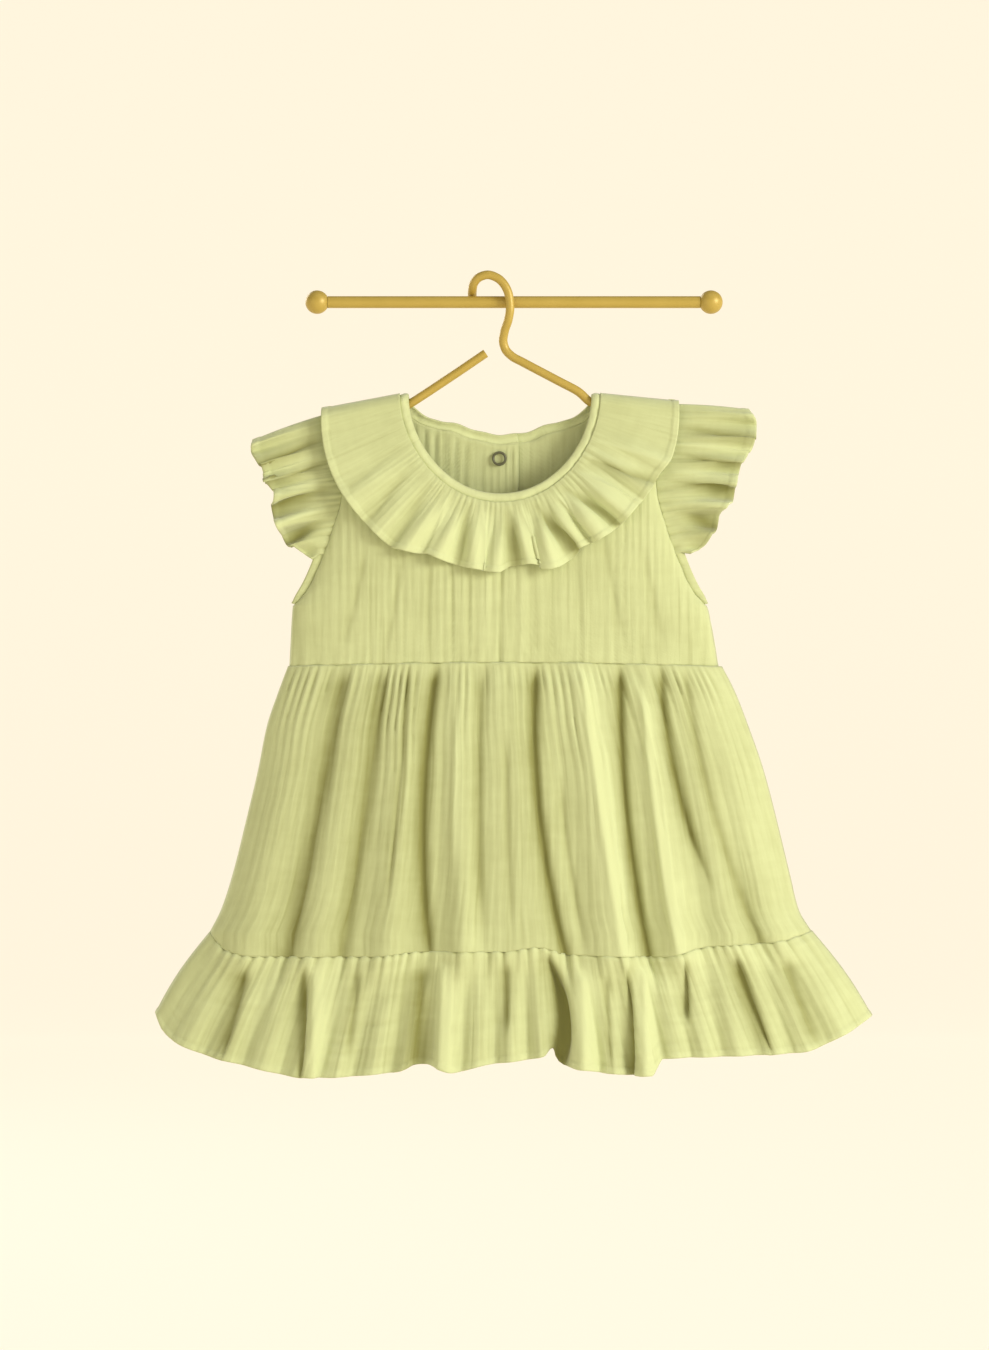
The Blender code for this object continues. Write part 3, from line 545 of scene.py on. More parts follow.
def makeMuslin():
    made, start, shader = surface("crinkled muslin", muslin["clothAndCrestLight"], muslin["roughness"])
    thread = start.node("ShaderNodeUVMap", {"uv_map": "cloth"}, {})[0]
    u, v = start.node("ShaderNodeSeparateXYZ", {}, {0: thread})[:2]
    slub, lines, patches, crumple, pins = (
        thread.noise(*muslin[key]) for key in ("slub", "lines", "patches", "crumple", "pins"))
    turn = 2 * math.pi / muslin["thread"]
    # Hairline creases: pressed into the bump, and painted darker in colour as their shade
    hairlineCreases = (7.0 * (pins - 0.62)).clamped()
    weave = (turn * u).wave() * (turn * v).wave()
    height = 0.55 * lines + 0.14 * weave + 0.2 * slub + 0.5 * crumple - 0.3 * hairlineCreases
    # The crease's height in millimetres, from the mesh, which paints shade into the troughs and light
    # onto the ridges
    depth = start.node("ShaderNodeAttribute", {"attribute_name": "crease"}, {})[2]
    # Random tone from the patches, plus painted shade and light that follow the bump's crinkle lines
    # and crumple
    mottleAndCrinkleShade = 0.30 * (lines - 0.5) + 0.26 * (patches - 0.5) + 0.16 * (crumple - 0.5)
    # Painted shade and light: darker in crease troughs and on hairlines, lighter on crease ridges
    share = (0.82 + 0.20 * depth + mottleAndCrinkleShade - 0.16 * hairlineCreases).clamped()
    start.fill(shader, {
        "Base Color": share.blend(muslin["paintedFoldShade"], muslin["clothAndCrestLight"]),
        "Normal": height.bump(*muslin["bump"]),
        "Sheen Weight": muslin["sheen"],
        "Sheen Roughness": muslin["sheenRoughness"],
    })
    return made


cloth = makeMuslin()
print("cloth surface ready")


# Bodice: flat crinkled muslin, a little gathered at the neck and drawn in at the waist
bodice = {
    "columns": 380,
    "rows": 76,
    "backRows": 60,
    "crinkle": 0.6,
    "creaseTop": 45,
    "neckLong": 60,
    "neckGathers": {"pitch": 8.0, "reach": 22.0},
    "waistGathers": {"pitch": 9.0, "height": 1.1, "reach": 14.0},
    "frontCreases": (
        (-38.9, -38.9, -38.4, 1.6, -0.9, 0, 1.2), (-28, -28, -28, 1.6, -0.8, 0, 1.1),
        (-7.9, -7.9, -8.4, 1.6, -0.9, 0, 1.2), (23.8, 23.8, 24.4, 1.6, -0.8, 0, 1.1),
        (-52, -53, -55, 3.4, -0.8, 0.1, 1), (-18, -18, -19, 4.5, 0.7, 0, 1),
        (5, 5, 5, 3.5, 0.6, 0, 1), (13, 13, 13.5, 3, -0.7, 0, 1),
        (39, 41, 43, 3.4, -0.8, 0.15, 0.95), (-66, -72, -83, 4, -0.8, 0.3, 1),
        (52, 60, 74, 4, -0.8, 0.3, 1), (-88, -96, -112, 5, -0.9, 0.35, 1),
        (74, 84, 98, 5, -0.9, 0.35, 1),
    ),
    "backCreases": (
        (-42, -46, -54, 3.5, -0.9, 0, 0.9), (-28, -29, -33, 3, -0.7, 0, 0.8),
        (12, 14, 17, 3, -0.7, 0, 0.9), (27, 32, 42, 3.5, -0.9, 0, 1),
        (-70, -78, -94, 4.5, -0.8, 0.25, 1), (58, 66, 80, 4.5, -0.8, 0.25, 1),
    ),
}


def bodiceDetail(side, seed):
    table = bodice["frontCreases" if side == "front" else "backCreases"]

    def detail(x, z, u, v, across, down):
        top = neckTop - bodice["creaseTop"]
        fall = np.clip((top - z) / (top - waistHeight), 0, 1)
        calm = softStep(down / 0.06) * (0.3 + 0.7 * softStep((z - waistHeight) / 5))
        above = np.maximum(z - waistHeight, 0)
        atWaist = gathers(x, above, seed + 7, **bodice["waistGathers"])
        tall = 0.9 if side == "front" else 0.5 + 1.2 * softStep((-14 - x) / 12)
        atNeck = gathers(x, down * bodice["neckLong"], seed + 9, height=tall,
                         **bodice["neckGathers"])
        lines = crinkle(x, z, seed, bodice["crinkle"], 0.25)
        return calm * (lines + creases(x, fall, table)) + atWaist + calm * atNeck

    return detail


def makeBodice():
    def front(across, down):
        leftX, leftZ = bodicePlace("front", "left", np.clip(2 * across, 0, 1), down, dressMiddle)
        rightX, rightZ = bodicePlace(
            "front", "right", np.clip(2 - 2 * across, 0, 1), down, dressMiddle)
        onLeft = across <= 0.5
        x, z = np.where(onLeft, leftX, rightX), np.where(onLeft, leftZ, rightZ)
        return x, -bodiceDepth("front", x, z), z

    made = clothSheet("bodiceFront", bodice["columns"], bodice["rows"], front, -1,
                      bodiceDetail("front", 11), straight=True)
    wear(made, "bodice_front")

    for name, node, edgeName, endX, over in (
            ("bodiceBackLeft", "bodice_back_left", "left", lapRight, False),
            ("bodiceBackRight", "bodice_back_right", "right", lapLeft, True)):
        def back(across, down):
            share = across if edgeName == "left" else 1 - across
            x, z = bodicePlace("back", edgeName, share, down, endX)
            return x, bodiceDepth("back", x, z) + (lapOver(x) if over else 0.0), z

        made = clothSheet(name, bodice["columns"] // 2, bodice["backRows"], back, 1,
                          bodiceDetail("back", 43 if over else 23), straight=True)
        wear(made, node)


makeBodice()


# Neck binding: a rolled bias strip, slightly puckered by its stitches
binding = {
    "rows": 8,
    "lift": 0.5,
    "wall": 1.3,
    "roll": 1.2,
    "pucker": 0.45,
    "step": 4.6,
    "cover": 0.7,
    "half": bindingWidth / 2,
    "seed": 31,
}


def makeNeckBinding():
    def strip(name, node, side, face, first, last, over, columns):
        def place(across, down):
            angle = mix(first, last, across)
            out = mix(-binding["half"], binding["half"] + binding["cover"], down)
            x, z = neckPlace(side, angle, out)
            z = z + ridgeShift(x, angle, binding["lift"]) - ridgeShift(x, angle, 0.0)
            full = sections.at(side, z) + binding["lift"]
            depth = closeOverShoulder(full, x, z, binding["lift"])
            return x, face * (depth + (lapOver(x) if over else 0.0)), z

        def detail(x, z, u, v, across, down):
            roll = binding["roll"] * np.sin(math.pi * down)
            pull = grain(u / binding["step"], down * 1.5, binding["seed"]) - 0.5
            return roll + binding["pucker"] * 2 * pull * np.sin(math.pi * down) ** 0.5

        made = clothSheet(name, columns, binding["rows"], place, face, detail, binding["wall"])
        wear(made, node)

    outer = neckHalfWidth + (binding["half"] + seamGap)
    leftEnd = math.degrees(math.acos((dressMiddle - lapRight) / outer))
    rightEnd = math.degrees(math.acos((dressMiddle - lapLeft) / outer))
    strip("neckBindingFront", "neck_binding_front", "front", -1, 0.0, 180.0, False, 220)
    strip("neckBindingBackLeft", "neck_binding_back_left", "back", 1, 0.0, leftEnd, False, 110)
    strip("neckBindingBackRight", "neck_binding_back_right", "back", 1, rightEnd, 180.0, True,
          110)


makeNeckBinding()


# Neck ruffle: one gathered strip whose flutes grow towards its narrow hemmed edge
neckRuffle = {
    "columns": 420,
    "rows": 56,
    "hemWidth": 4.0,
    "hemRise": 0.45,
    "gathers": {"pitch": 6.5, "height": 1.3, "reach": 17.0},
    "crinkle": 0.5,
    "perDegree": 2.0,
    "underBinding": 0.4,
    "seamDip": 1.6,
    "overBodice": 1.9,
    "creases": (
        (13, 15, 18, 5, -1.6, 0.1, 1), (26, 29, 31, 4.5, -2.2, 0, 1.1),
        (38, 41, 44, 4.5, -2.4, 0, 1.2), (50, 53, 54, 5, -2.6, 0, 1.3),
        (72, 75, 76, 3.5, -2.8, 0, 1.3), (93, 95, 95.5, 5.5, -4.2, 0, 1.3),
        (107, 113, 116, 4, -4.8, 0, 1.3), (124, 130, 132, 3.5, -4.2, 0, 1.3),
        (143, 148, 152, 5, -4.6, 0, 1.3), (160, 163.5, 165, 4, -3.6, 0, 1.2),
        (169, 172, 173, 4, -2.8, 0.1, 1.1), (165, 167.5, 169, 4, 2, 0, 1.2),
        (100, 102.5, 104, 4, 2.2, 0, 1.3), (118, 123, 125, 5, 3, 0, 1.3),
        (135, 139, 141, 4.5, 2.6, 0, 1.3), (154, 157, 159, 4, 2.8, 0, 1.3),
        (60, 64, 66, 4, 1.6, 0, 1.3), (80, 83, 84.5, 4, 2.2, 0, 1.3),
    ),
    "backColumns": 170,
    "backRows": 40,
    "backFlute": 4.2,
    "backPitch": 11.5,
}


# A narrow turned hem: a low step along the lower edge, pulled in a little by its stitches
def turnedHem(u, edgeGap, seed):
    inside = softStep((neckRuffle["hemWidth"] + 0.5 - edgeGap) / 0.8)
    stitch = np.exp(-((edgeGap - neckRuffle["hemWidth"]) / 0.5) ** 2)
    pull = grain(u / 3.1, edgeGap / 40, seed) - 0.5
    return neckRuffle["hemRise"] * inside + (0.5 * pull - 0.25) * stitch + 0.35 * pull * inside


def rufflePlace(side, angle, down, flutes, extra):
    inX, inZ = neckPlace(side, angle, bindingWidth / 2 - neckRuffle["underBinding"])
    if side == "front":
        turn = np.radians(angle)
        reach = ruffleEdge.at("reach", angle)
        outX = dressMiddle - reach * np.cos(turn)
        outZ = neckTop - reach * np.sin(turn) + ridgeShift(outX, angle, 0.0)
    else:
        outX, outZ = neckPlace(side, angle, bindingWidth / 2 + seamGap + ruffleDepth)
    atShoulder = np.cos(np.radians(angle)) ** 4
    lift = ruffleLift + 1.5 * down * atShoulder
    x = mix(inX, outX, down)
    z = mix(inZ, outZ, down) + lift * atShoulder
    wave = flutes * softStep(down * 1.4) * (1 - softStep(atShoulder * 2 - 1))
    seam = -neckRuffle["seamDip"] * (1 - softStep(down / 0.07)) * (1 - atShoulder)
    depth = sections.at(side, z) + lift + extra + wave + seam
    return x, z, closeOverShoulder(depth, x, z, lift)


def makeNeckRuffle():
    def detailFor(side, seed):
        def detail(x, z, u, v, across, down):
            angle, away = 180 * across, down * ruffleDepth
            flat = 1 - softStep(2 * np.cos(np.radians(angle)) ** 16)
            if side == "front":
                flat = flat * mix(0.45, 1.0, softStep((angle - 25) / 35))
                flat = flat * mix(1.0, 0.7, softStep((angle - 168) / 12))
            run = neckRuffle["perDegree"] * angle
            small = gathers(run, away, seed, **neckRuffle["gathers"])
            lines = crinkle(run, away, seed + 4, neckRuffle["crinkle"])
            large = creases(angle, down, neckRuffle["creases"]) if side == "front" else 0 * x
            grown = large * softStep(down * 1.3 + 0.15) + 1.6 * softStep(down * 1.5)
            hem = turnedHem(u, (1 - down) * ruffleDepth, seed + 8)
            return flat * (small + lines + grown) + hem
        return detail

    def front(across, down):
        angle = 180 * across
        flutes = 0
        for middle, half, height in frontRuffleFolds.data:
            swung = angle + 3.0 * (down - 0.6) * np.sin(middle)
            flutes = flutes + height * swell(np.abs(swung - middle) / half) ** 1.25
        x, z, depth = rufflePlace("front", angle, down, flutes, 0.0)
        return x, -depth, z

    def backFor(first, last):
        def back(across, down):
            angle = 180 * mix(first, last, across)
            turns = angle / neckRuffle["backPitch"]
            flutes = neckRuffle["backFlute"] * swell(np.abs(turns % 1 - 0.5) * 2)
            flutes = flutes * (0.8 + 0.2 * np.sin(angle))
            overLap = 4.4 * swell(np.abs(angle - 90) / 45)
            x, z, depth = rufflePlace("back", angle, down, flutes, overLap)
            return x, depth, z
        return back

    def overBodice(x, z):
        inside = softStep((shoulder(x) - 7 - z) / 8)
        near = (x > bodiceEdges.at("left", z)) & (x < bodiceEdges.at("right", z))
        lowest = bodiceDepth("front", x, z) + neckRuffle["overBodice"]
        return np.where(near, lowest * inside, -9.0)

    made = clothSheet("neckRuffleFront", neckRuffle["columns"], neckRuffle["rows"], front, -1,
                      detailFor("front", 51), over=overBodice)
    wear(made, "neck_ruffle_front")
    split = 0.5 + math.asin((lapLeft - dressMiddle) / ruffleReach) / math.pi
    for name, node, first, last, seed in (
            ("neckRuffleBackLeft", "neck_ruffle_back_left", 0.0, split - 0.002, 63),
            ("neckRuffleBackRight", "neck_ruffle_back_right", split + 0.002, 1.0, 71)):
        def detail(x, z, u, v, across, down, first=first, last=last, seed=seed):
            return detailFor("back", seed)(x, z, u, v, mix(first, last, across), down)
        made = clothSheet(name, neckRuffle["backColumns"], neckRuffle["backRows"],
                          backFor(first, last), 1, detail)
        wear(made, node)


makeNeckRuffle()


# Flutter sleeves: gathered on the armhole, fluted at their hemmed edge
sleeve = {
    "columns": 250,
    "rows": 40,
    "run": 230,
    "long": 46.0,
    "flutes": 6,
    "fluteHeight": 4.6,
    "underBodice": 0.4,
    "seamDepth": 2.2,
    "sag": 0.05,
    "gathers": {"pitch": 6.0, "height": 1.3, "reach": 16.0},
    "crinkle": 0.5,
    "creases": (
        (0.15, 0.18, 0.2, 0.07, -4.6, -0.1, 1.3), (0.32, 0.36, 0.4, 0.06, -4.2, -0.1, 1.3),
        (0.51, 0.56, 0.6, 0.06, -4.6, -0.1, 1.3), (0.71, 0.78, 0.82, 0.07, -3.8, -0.1, 1.3),
        (0.27, 0.29, 0.3, 0.06, 2.2, 0.1, 1.3), (0.46, 0.48, 0.5, 0.06, 2.2, 0.1, 1.3),
        (0.66, 0.68, 0.7, 0.07, 2.2, 0.1, 1.3),
    ),
}


def makeSleeve(name, node, edgeName, outline, sign, seed):
    def place(across, down):
        low = np.abs(2 * across - 1)
        side = np.where(across < 0.5, -1, 1)
        tipZ = shoulder(dressMiddle + sign * shoulderHalfWidth)
        seamZ = mix(tipZ, sleeveLow, low)
        seamX = bodiceEdges.at(edgeName, seamZ) - sign * sleeve["underBodice"]
        seamY = side * (sleeve["seamDepth"] + 0.6 * armholeGap(seamZ)) * rounded(low / 0.1)
        edgeX, edgeZ = outline.at("x", low), outline.at("z", low)
        edgeY = side * sleeveHalfDepth * rounded(low / 0.3) * (1 - 0.3 * low * low)
        wave = np.sin(2 * math.pi * sleeve["flutes"] * low)
        flute = sleeve["fluteHeight"] * wave * softStep(low / 0.12)
        sag = sleeve["sag"] * down * (1 - down)
        x = mix(seamX, edgeX, down)
        y = mix(seamY, edgeY, down) + side * flute * softStep(down * 1.25 - 0.25)
        z = mix(seamZ, edgeZ, down) + sag * (tipZ - sleeveLow)
        return x, y, z

    def detail(x, z, u, v, across, down):
        run, long = across * sleeve["run"], sleeve["long"]
        small = gathers(run, down * long, seed, **sleeve["gathers"])
        lines = crinkle(run, down * long, seed + 5, sleeve["crinkle"])
        low = np.abs(2 * across - 1)
        large = creases(low, down, sleeve["creases"], -1) * softStep(down * 1.3)
        calm = softStep(down / 0.05)
        return calm * lines + small + large + turnedHem(u, (1 - down) * long, seed + 9)

    made = clothSheet(name, sleeve["columns"], sleeve["rows"], place, -sign, detail)
    wear(made, node)


makeSleeve("sleeveLeft", "sleeve_left", "left", leftSleeve, -1, 81)
makeSleeve("sleeveRight", "sleeve_right", "right", rightSleeve, 1, 97)


# Armhole bindings: bias strips round the lower part of each armhole
armhole = {
    "columns": 70,
    "rows": 6,
    "top": sleeveLow + 1.8,
    "low": underarm + 1.6,
    "narrow": 3.2,
    "overlap": 0.5,
    "lift": 0.25,
    "roll": 0.5,
    "pucker": 0.4,
}


def makeArmholeBinding(name, node, edgeName, sign, seed):
    def place(across, down):
        rise = np.abs(2 * across - 1)
        side = np.where(across < 0.5, -1, 1)
        z = mix(armhole["low"], armhole["top"], 1 - np.cos(rise * math.pi / 2))
        width = mix(armhole["narrow"], bindingWidth, softStep(rise * 2))
        x = bodiceEdges.at(edgeName, z) + sign * (width * down - armhole["overlap"])
        y = side * (armholeGap(z) + armhole["lift"]) * rounded(rise / 0.12)
        return x, y, z

    def detail(x, z, u, v, across, down):
        pull = grain(u / 4.0, down, seed) - 0.5
        return armhole["roll"] * np.sin(math.pi * down) + armhole["pucker"] * pull

    made = clothSheet(name, armhole["columns"], armhole["rows"], place, sign, detail,
                      binding["wall"])
    wear(made, node)


makeArmholeBinding("armholeBindingLeft", "armhole_binding_left", "left", -1, 111)
makeArmholeBinding("armholeBindingRight", "armhole_binding_right", "right", 1, 117)


# Skirt: falls from fine waist gathers into long soft folds, deeper at the front's right
skirt = {
    "run": 320,
    "long": 175,
    "gathers": {"pitch": 7.4, "height": 3.6, "reach": 24.0},
    "crinkle": 0.6,
    "tuck": 0.6,
    "frontCreases": (
        (-47.9, -57, -53, 7, -4.6, -0.2, 1.2), (14.5, 16, 33, 6.5, -5, -0.2, 1.3),
        (39.9, 53, 67, 7, 3.6, -0.2, 1.25), (67.8, 71.5, 85.5, 6, -4.8, -0.2, 1.3),
        (93.1, 107, 140, 5.5, -4.2, -0.2, 0.85), (-82, -94, -108, 10, -3.2, -0.3, 1.4),
        (-107, -124, -143, 10, -3.2, -0.3, 1.4), (-20, -22, -19, 5.5, -2.6, -0.2, 1),
        (-66, -74, -84, 5, -2, -0.1, 0.9), (-4, -4, -1, 4.5, -1.5, 0.2, 1),
        (27, 31, 46, 4, -1.5, 0.35, 1.05), (53, 60, 76, 3.5, 1.3, 0.2, 0.9),
        (-35, -38, -37, 4.5, 1.3, 0.1, 0.8), (80, 88, 103, 6, 2.4, 0, 1.2),
        (108, 126, 156, 6.5, -2.6, -0.1, 1.3),
    ),
    "backCreases": (
        (-104, -118, -142, 9, -3.2, -0.3, 1.4), (-72, -84, -98, 7, -4, -0.2, 1.3),
        (-40, -45, -50, 6, -3.4, -0.2, 1.2), (-6, -7, -8, 7, -4.2, -0.2, 1.3),
        (26, 31, 38, 6, -4, -0.2, 1.3), (60, 70, 82, 7, -4.2, -0.2, 1.3),
        (93, 106, 126, 8, -3.4, -0.2, 1.3), (-24, -25, -29, 5, 2.2, -0.1, 1.2),
        (44, 52, 60, 6, 2.4, -0.1, 1.3), (-57, -64, -74, 6, 2.2, -0.1, 1.3),
        (10, 12, 15, 4, -1.8, 0.2, 1.2),
    ),
}

# Large folds and creases of each side
skirtParts = {
    "front": (frontSkirtFolds, skirt["frontCreases"]),
    "back": (backSkirtFolds, skirt["backCreases"]),
}


# Depth of the skirt's lower edge, which the hem ruffle is sewn to
def skirtEdgeDepth(side, x):
    folds, table = skirtParts[side]
    z = hemSeam.at("z", x)
    left, right = skirtEdges.at("left", z), skirtEdges.at("right", z)
    across = (x - left) / (right - left)
    aside = np.clip(fromSide(across), 0, 1)
    depth = bodyDepth(side, x, z, skirtEdges, 0.0)
    grown = rounded(aside / 0.05) * foldHeight(folds, x, np.ones_like(x))
    return depth + grown + softStep(aside / 0.03) * creases(x, np.ones_like(x), table)


def makeSkirt(side, name, node, columns, rows, seed):
    sign = -1 if side == "front" else 1
    folds, table = skirtParts[side]
    tops = [skirtEdges.at(edge, waistHeight) for edge in ("left", "right")]
    lows = [skirtEdges.column(edge)[0] for edge in ("left", "right")]

    def place(across, down):
        topX, lowX = mix(tops[0], tops[1], across), mix(lows[0], lows[1], across)
        z = mix(waistLine(topX) + seamGap, hemSeam.at("z", lowX), down)
        x = mix(skirtEdges.at("left", z), skirtEdges.at("right", z), across)
        depth = bodyDepth(side, x, z, skirtEdges, 0.0)
        fade = rounded(fromSide(across) / 0.05)
        tuck = skirt["tuck"] * (1 - softStep(down / 0.012))
        depth = depth + fade * (foldHeight(folds, x, down) - tuck)
        return x, sign * np.maximum(depth, 0.0), z

    def detail(x, z, u, v, across, down):
        fade = softStep(fromSide(across) / 0.03)
        run, away = across * skirt["run"], down * skirt["long"]
        small = gathers(run, away, seed, **skirt["gathers"])
        lines = crinkle(run, away, seed + 5, skirt["crinkle"])
        calm = softStep(down / 0.015) * (0.5 + 0.5 * softStep((1 - down) / 0.03))
        held = 0.1 + 0.9 * softStep(down / 0.08)
        return fade * (held * (creases(x, down, table) + small) + calm * lines)

    made = clothSheet(name, columns, rows, place, sign, detail)
    wear(made, node)


makeSkirt("front", "skirtFront", "skirt_front", 300, 120, 131)
makeSkirt("back", "skirtBack", "skirt_back", 240, 84, 149)


# Hem ruffle: gathered on the skirt's edge, waving out to a narrow turned hem
hemRuffle = {
    "run": 420,
    "long": 72,
    "gathers": {"pitch": 9.0, "height": 2.4, "reach": 20.0},
    "crinkle": 0.6,
    "tuck": 0.6,
    "slub": 0.7,
    "bulge": 2.5,
    "backPitch": (20.5, 24.0),
    "backHeight": (1.4, 5.6),
    "frontCreases": (
        (20.2, 31, 29.1, 6, -8, -0.1, 1.4), (41, 43, 43, 9, 3.5, 0, 1.2),
        (108.4, 108.6, 110, 3.2, -4.5, 0, 0.7), (-132, -133, -134.5, 5, -4.2, 0, 1.2),
        (-126, -126.5, -128, 7, 2.8, 0, 1.2), (-57.5, -58.5, -60, 13, -4.2, -0.1, 1.4),
        (-45, -46, -47, 7, 2.8, 0, 1.2), (-5.1, -5, -8, 6, -3.4, 0, 0.8),
        (72.2, 73, 73.5, 3.6, -4.6, 0, 1.3), (79.8, 81, 82, 6, 2.6, 0, 1.2),
        (58, 59, 61, 5, -2.6, 0.1, 1), (-98, -101, -106, 6, -3, 0, 0.9),
        (-168, -176, -186, 8, -3.6, 0, 1.1), (138, 149, 163, 7, -4.6, 0, 1.1),
        (168, 180, 193, 7, -3, 0.1, 1.1),
    ),
    "backCreases": (
        (-120, -128, -140, 5, -2.6, 0, 0.9), (-60, -64, -70, 5, -2.8, 0, 1),
        (-2, -2, -4, 5, -3, 0, 1.1), (42, 46, 52, 5, -2.6, 0, 0.9),
        (98, 106, 118, 5, -2.8, 0, 1),
    ),
}


def makeHemRuffle(side, name, node, folds, table, columns, rows, seed):
    sign = -1 if side == "front" else 1
    seamX, edgeX = hemSeam.column("x"), hemEdge.column("x")

    def place(across, down):
        topX, lowX = mix(seamX[0], seamX[-1], across), mix(edgeX[0], edgeX[-1], across)
        bulge = hemRuffle["bulge"] * np.sin(math.pi * down) * (2 * across - 1) ** 5
        x = mix(topX, lowX, down) + bulge
        z = mix(hemSeam.at("z", topX) + seamGap, hemEdge.at("z", lowX), down)
        turn = np.maximum(0.0, 1 - np.abs(2 * across - 1) ** 3) ** 0.5
        full = mix(hemSeamDepth, hemDepth, down) - (backFlatter if side == "back" else 0)
        seam = skirtEdgeDepth(side, topX)
        fade = rounded(fromSide(across) / 0.04)
        tuck = hemRuffle["tuck"] * (1 - softStep(down / 0.03))
        depth = full * turn + fade * folds(x, down)
        depth = mix(seam, depth, softStep(down / 0.4)) - fade * tuck
        return x, sign * np.maximum(depth, 0.0), z

    def detail(x, z, u, v, across, down):
        fade = softStep(fromSide(across) / 0.02)
        run, away = across * hemRuffle["run"], down * hemRuffle["long"]
        small = gathers(run, away, seed, **hemRuffle["gathers"])
        lines = crinkle(run, away, seed + 5, hemRuffle["crinkle"])
        calm = softStep(down / 0.03)
        slubs = hemRuffle["slub"] * grain(run / 26, away / 3.2, seed + 12)
        slubs = slubs * grain(run / 40, away / 30, seed + 13)
        large = softStep(down / 0.25) * creases(x, down, table)
        shaped = fade * (large + small + calm * (lines + slubs))
        return shaped + turnedHem(u, (1 - down) * hemRuffle["long"], seed + 9)

    made = clothSheet(name, columns, rows, place, sign, detail)
    wear(made, node)


def frontHemWaves(x, down):
    return foldHeight(frontHemFolds, x, down)


def backHemWaves(x, down):
    turns = (x - dressMiddle) / mix(*hemRuffle["backPitch"], down)
    height = mix(*hemRuffle["backHeight"], softStep(down)) * (0.8 + 0.2 * np.sin(2.3 * turns))
    return height * swell(np.abs(turns % 1 - 0.5) * 2)


makeHemRuffle("front", "hemRuffleFront", "hem_ruffle_front", frontHemWaves,
              hemRuffle["frontCreases"], 400, 60, 163)
makeHemRuffle("back", "hemRuffleBack", "hem_ruffle_back", backHemWaves,
              hemRuffle["backCreases"], 300, 44, 181)


# Middle line of the hanger's wire, from the hook's tip to the free end of the left arm
hangerWire = Rows(
    "order x y z",
    (1, -26.6, 6.6, 2.5), (2, -26.6, 4.9, 5.2), (3, -26.5, 1.7, 7.1), (4, -26, -2.6, 10.4),
    (5, -22.6, -5.9, 15), (6, -16.7, -6.9, 16.8), (7, -10.6, -6.9, 14.8), (8, -5.6, -6.9, 9.6),
    (9, -3.2, -6.9, 3.4), (10, -2.5, -6.9, -4), (11, -3.6, -6, -11.5), (12, -5.8, -3.4, -18),
    (13, -6.9, -1, -24.3), (14, -5.6, 0, -29.6), (15, -1.3, 0, -34.4), (16, 6, 0, -38.4),
    (17, 28, 0, -50), (18, 41, 0, -57), (19, 49, 0, -63.6), (20, 58, 0, -65.5),
    (21, 70, 0, -67.3), (22, 78, 0, -69.5), (23, 82, 0, -73.6), (24, 83, 0, -80),
    (25, 78, 0, -120), (26, 76, 0, -130), (27, 72, 0, -135), (28, 64, 0, -136.5),
    (29, -82, 0, -136.5), (30, -90, 0, -135), (31, -94, 0, -130), (32, -96, 0, -120),
    (33, -100.6, 0, -82), (34, -99.4, 0, -76), (35, -94.5, 0, -73), (36, -84, 0, -71.6),
    (37, -76, 0, -69.6), (38, -68.8, 0, -66.1), (39, -40, 0, -47.4), (40, -18, 0, -32.5),
)

# Hanger wire, rod and balls
metal = {
    "wireRadius": 2.8,
    "wirePoints": 313,
    "rodRadius": 3.8,
    "rodHalf": 118.4,
    "ballRadius": 7.5,
}

# Ring snap: the ring lies inside the back, its cap outside
snap = {
    "x": -9.3,
    "z": -99.1,
    "radius": 3.9,
    "wire": 0.8,
    "clothWall": 1.2,
    "ringGap": 0.45,
    "capRadius": 4.7,
    "capHeight": 0.9,
    "capEdge": 0.35,
}

# Each paint is mottled between its low and its high colour
goldPaint = {
    "colour": (0.49, 0.345, 0.06),
    "low": (0.45, 0.315, 0.05),
    "high": (0.53, 0.375, 0.075),
    "roughness": 0.5,
    "metallic": 0.15,
}

darkPaint = {
    "colour": (0.10, 0.10, 0.05),
    "low": (0.085, 0.085, 0.04),
    "high": (0.13, 0.13, 0.065),
    "roughness": 0.4,
}


def makeGold():
    made, start, shader = surface("gold paint", goldPaint["colour"], goldPaint["roughness"])
    place = start.node("ShaderNodeTexCoord", {}, {})[3]  # Object coordinates
    speck, worn = place.noise(1400.0, 2.0), place.noise(60.0, 3.0)
    start.fill(shader, {
        "Metallic": goldPaint["metallic"],
        "Normal": speck.bump(0.12, 0.0002),
        "Base Color": worn.blend(goldPaint["low"], goldPaint["high"]),
        "Roughness": 0.36 + 0.14 * worn,
    })
    return made


def makeSnapPaint():
    made, start, shader = surface("snap paint", darkPaint["colour"], darkPaint["roughness"])
    place = start.node("ShaderNodeTexCoord", {}, {})[3]  # Object coordinates
    speck = place.noise(900.0, 2.0)
    start.fill(shader, {"Base Color": speck.blend(darkPaint["low"], darkPaint["high"])})
    return made


gold = makeGold()
snapPaint = makeSnapPaint()


# Puts an added solid on the dress's body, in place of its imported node
def settle(made, name, node, paint, smoothAngle=35):
    made.name = name
    made.data.name = name
    made.data.materials.clear()
    made.data.materials.append(paint)
    pick(made)
    bpy.ops.object.transform_apply(location=True, rotation=True, scale=True)
    bpy.ops.object.shade_smooth_by_angle(angle=math.radians(smoothAngle))
    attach(made, "root")
    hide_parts(node)


def makeWire():
    path = bpy.data.curves.new("hangerWire", "CURVE")
    path.dimensions = "3D"
    path.bevel_depth = metal["wireRadius"] * mm
    path.bevel_resolution = 5
    path.use_fill_caps = True
    order = np.linspace(1, len(hangerWire.data), metal["wirePoints"])
    places = np.stack([hangerWire.at(axis, order) for axis in "xyz"], axis=-1) * mm
    line = path.splines.new("POLY")
    line.points.add(len(places) - 1)
    weighted = np.concatenate([places, np.ones((len(places), 1))], axis=1)
    line.points.foreach_set("co", weighted.ravel())
    pick(add("hangerWire", path))
    bpy.ops.object.convert(target="MESH")
    settle(bpy.context.object, "hangerWire", "hanger", gold, 60)


